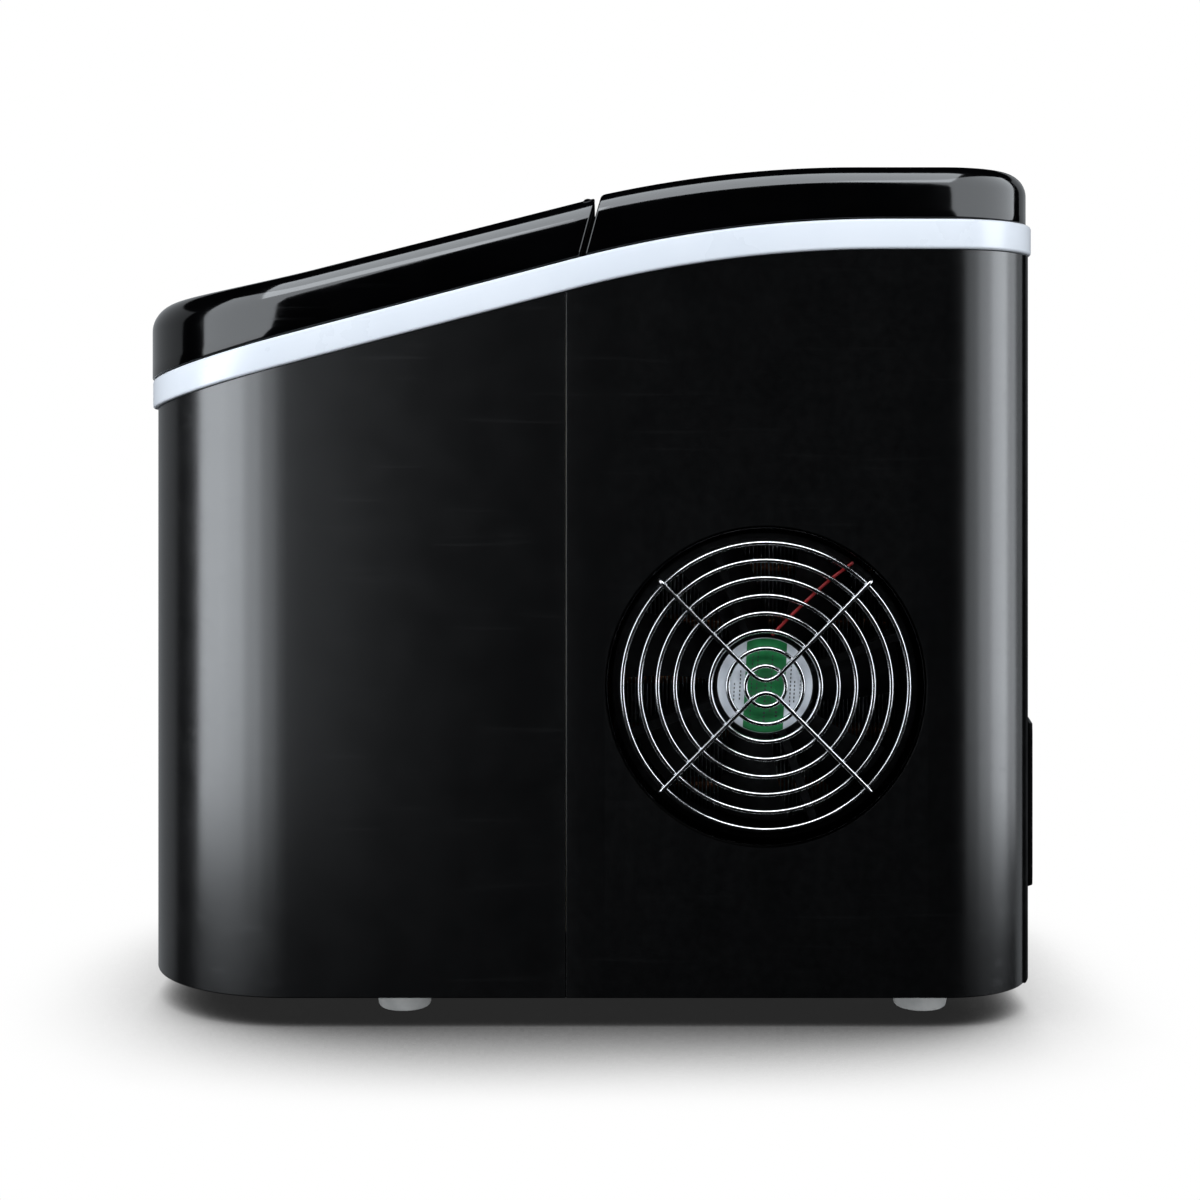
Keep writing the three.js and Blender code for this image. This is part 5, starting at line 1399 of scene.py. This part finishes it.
# CAD nodes that stay as they are, with the width of their rounded edges in millimetres
for node, look, width in (
    ("base_pan", MOULDED, 0.5), ("upper_deck", MOULDED, 0.5), ("hinge_pin_right", STEEL, 0.2),
    ("hinge_pin_left", STEEL, 0.2), ("liner_insulation", FOAM, 1.5), ("evaporator_bracket", STEEL, 0.4),
    ("tray_motor", MOULDED, 1.5), ("float_stem", LINER, 0.4), ("drain_pipe", MOULDED, 0.4),
    ("compressor_mount", STEEL, 0.6), ("compressor_terminal_cover", MOULDED, 2.0),
    ("hot_gas_valve", STEEL, 1.2), ("water_pump", MOULDED, 1.5), ("power_board", BOARD, 0.4),
    ("control_board", BOARD, 0.3),
):
    dress(node, look, width * MM)

# ---------------------------------------------------------------- floor, light and camera

# The floor glows evenly, and its contact shadow is ambient occlusion. The occlusion looks along a
# normal that leans away from the fan side, so the shadow falls towards the camera.
SHADE_LEAN = math.radians(42)
SHADE_REACH = 0.12
SHADE_RANGE = (0.20, 0.86, 0.02, 1.0)
FLOOR_REACH = 3
floor_look = bpy.data.materials.new("floor_white")
floor_look.use_nodes = True
tree = floor_look.node_tree
tree.nodes.clear()
contact = tree.nodes.new("ShaderNodeAmbientOcclusion")
contact.samples = 32
contact.inputs["Distance"].default_value = SHADE_REACH
lean = tree.nodes.new("ShaderNodeCombineXYZ")
lean.inputs["X"].default_value = -math.sin(SHADE_LEAN)
lean.inputs["Z"].default_value = math.cos(SHADE_LEAN)
tree.links.new(lean.outputs["Vector"], contact.inputs["Normal"])
fade = tree.nodes.new("ShaderNodeMapRange")
fade.interpolation_type = "SMOOTHSTEP"
for socket, number in zip(RANGE_SOCKETS, SHADE_RANGE):
    fade.inputs[socket].default_value = number
glow = tree.nodes.new("ShaderNodeEmission")
glow.inputs["Color"].default_value = (1, 1, 1, 1)
out = tree.nodes.new("ShaderNodeOutputMaterial")
tree.links.new(contact.outputs["AO"], fade.inputs["Value"])
tree.links.new(fade.outputs["Result"], glow.inputs["Strength"])
tree.links.new(glow.outputs["Emission"], out.inputs["Surface"])

floor_mesh = bpy.data.meshes.new("floor")
floor_mesh.from_pydata([
    (x * FLOOR_REACH, y * FLOOR_REACH, 0) for x, y in ((-1, -1), (1, -1), (1, 1), (-1, 1))
], [], [(0, 1, 2, 3)])
floor = new_object("floor", floor_mesh)
floor_mesh.materials.append(floor_look)
floor.visible_diffuse = floor.visible_glossy = floor.visible_transmission = floor.visible_shadow = False
floor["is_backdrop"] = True

# The world is white behind the object and almost black in reflections
world = bpy.data.worlds.new("studio")
bpy.context.scene.world = world
world.use_nodes = True
tree = world.node_tree
tree.nodes.clear()
bright = tree.nodes.new("ShaderNodeBackground")
bright.inputs["Color"].default_value = (1, 1, 1, 1)
dark = tree.nodes.new("ShaderNodeBackground")
dark.inputs["Color"].default_value = (0.001, 0.001, 0.0011, 1)
ray = tree.nodes.new("ShaderNodeLightPath")
choose = tree.nodes.new("ShaderNodeMixShader")
out = tree.nodes.new("ShaderNodeOutputWorld")
tree.links.new(ray.outputs["Is Camera Ray"], choose.inputs["Fac"])
tree.links.new(dark.outputs["Background"], choose.inputs[1])
tree.links.new(bright.outputs["Background"], choose.inputs[2])
tree.links.new(choose.outputs["Shader"], out.inputs["Surface"])

# Each kind of surface has soft lights of its own, through light linking. A piece joins the first
# group that its finish belongs to, or else the inside group. The fan, its lip and the condenser
# behind it are lit as one, as the core group.
MIDDLE = Vector((0, 0, 0.165))
CORE_PIECES = ("fan_lip", "fan_ring", "fan_wheel", "condenser_fins", "condenser_coil")
GROUP_LOOKS = {
    "wire": {CHROME},
    "skin": {LACQUER},
    "crown": {GLOSS, SMOKE, BUTTON, LENS},
    "bright": {TRIM, FOIL, GREEN, PRINT, RED, RUBBER},
}
groups = {
    name: bpy.data.collections.new("lit_" + name)
    for name in ("skin", "crown", "bright", "wire", "core", "inside")
}
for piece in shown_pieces():
    worn = {slot.material for slot in piece.material_slots}
    group = next((name for name, looks in GROUP_LOOKS.items() if looks & worn), "inside")
    groups["core" if piece.name in CORE_PIECES else group].objects.link(piece)

LAMP_COLOUR = (0.90, 0.95, 1.0)


def softbox(name, group, azimuth, elevation, distance, width, height, radiance, target=MIDDLE):
    """An area light facing the target that falls on one group. Azimuth turns from +X towards +Y."""
    a, e = math.radians(azimuth), math.radians(elevation)
    towards = Vector((math.cos(a) * math.cos(e), math.sin(a) * math.cos(e), math.sin(e)))
    lamp = bpy.data.lights.new(name, "AREA")
    lamp.shape = "RECTANGLE"
    lamp.size, lamp.size_y = width, height
    lamp.energy = radiance * math.pi * width * height
    lamp.color = LAMP_COLOUR
    made = bpy.data.objects.new(name, lamp)
    bpy.context.scene.collection.objects.link(made)
    made.location = target + towards * distance
    made.rotation_mode = "QUATERNION"
    made.rotation_quaternion = towards.to_track_quat("Z", "Y")
    made.light_linking.receiver_collection = groups[group]


# Name, group, azimuth, elevation, distance, width, height and radiance
SOFTBOXES = (
    ("skin_far_front", "skin", 222, 8, 1.3, 1.7, 1.5, 0.33),
    ("skin_far_rear", "skin", 128, 8, 1.3, 0.90, 1.5, 0.4),
    ("crown_front", "crown", -45.5, 20, 1.35, 1.29, 1.7, 4.2),
    ("crown_far_front", "crown", 232, 8, 1.3, 1.9, 1.2, 0.4),
    ("crown_rear", "crown", 62, 20, 1.1, 1.9, 1.5, 3.6),
    ("crown_far_rear", "crown", 135, 8, 1.3, 0.8, 1.2, 0.4),
    ("crown_top", "crown", -9, 62, 1.3, 1.3, 1.15, 6.5),
    ("bright_side", "bright", 0, 50, 1.4, 1.6, 0.7, 4.2),
    ("bright_front", "bright", -60, 10, 1.3, 0.6, 1.2, 6.0),
    ("bright_rear", "bright", 65, 10, 1.3, 0.6, 1.2, 4.8),
    ("bright_low", "bright", 0, -40, 1.3, 1.2, 0.5, 2.2),
    ("bright_far", "bright", 180, 40, 1.4, 1.2, 0.8, 5.4),
    ("wire_side", "wire", 0, 50, 1.4, 1.6, 0.7, 4.6),
    ("wire_front", "wire", -60, 10, 1.3, 0.6, 1.2, 2.8),
    ("wire_rear", "wire", 65, 10, 1.3, 0.6, 1.2, 2.8),
    ("core_side", "core", 25, 25, 1.4, 0.7, 0.7, 0.12),
    ("core_rear", "core", 110, 35, 1.4, 0.8, 0.8, 0.8),
    ("inside_top", "inside", 20, 75, 1.3, 1.2, 0.9, 3.2),
    ("inside_side", "inside", 10, 20, 1.4, 0.7, 0.7, 0.12),
    ("inside_rear", "inside", 110, 35, 1.4, 0.8, 0.8, 4.0),
    ("inside_far", "inside", 200, 30, 1.4, 0.8, 0.8, 3.5),
)
for row in SOFTBOXES:
    softbox(*row)

# Upright strips whose reflections are the soft vertical highlights on the front and rear corners:
# azimuth, width and radiance. They reach a little below the floor, so the highlights run to the foot.
STRIP_DISTANCE = 1.3
SKIN_STRIPS = (
    (-69, 0.46, 8.7),
    (-52, 0.34, 8.6),
    (-39, 0.30, 5.4),
    (-28, 0.30, 3.0),
    (-18, 0.26, 1.1),
    (43, 0.36, 1.9),
    (58, 0.34, 4.3),
    (78, 0.56, 7.7),
    (99, 0.38, 2.8),
)
STRIP_FOOT, STRIP_TOP = -0.15, 0.95
for i, (azimuth, width, radiance) in enumerate(SKIN_STRIPS):
    softbox(f"strip_{i}", "skin", azimuth, 0, STRIP_DISTANCE, width, STRIP_TOP - STRIP_FOOT, radiance,
            Vector((0, 0, (STRIP_TOP + STRIP_FOOT) / 2)))

# The camera looks straight at the fan side
camera_data = bpy.data.cameras.new("camera")
camera_data.sensor_width = 36
camera_data.lens = 59.06
camera_data.shift_y = -0.125
camera_data.clip_start = 0.02
camera = bpy.data.objects.new("camera", camera_data)
bpy.context.scene.collection.objects.link(camera)
camera.location = (0.8748, 0.0059, 0.2216)
camera.rotation_euler = (math.pi / 2, 0, math.pi / 2)
bpy.context.scene.camera = camera
bpy.context.scene.view_settings.view_transform = "Standard"
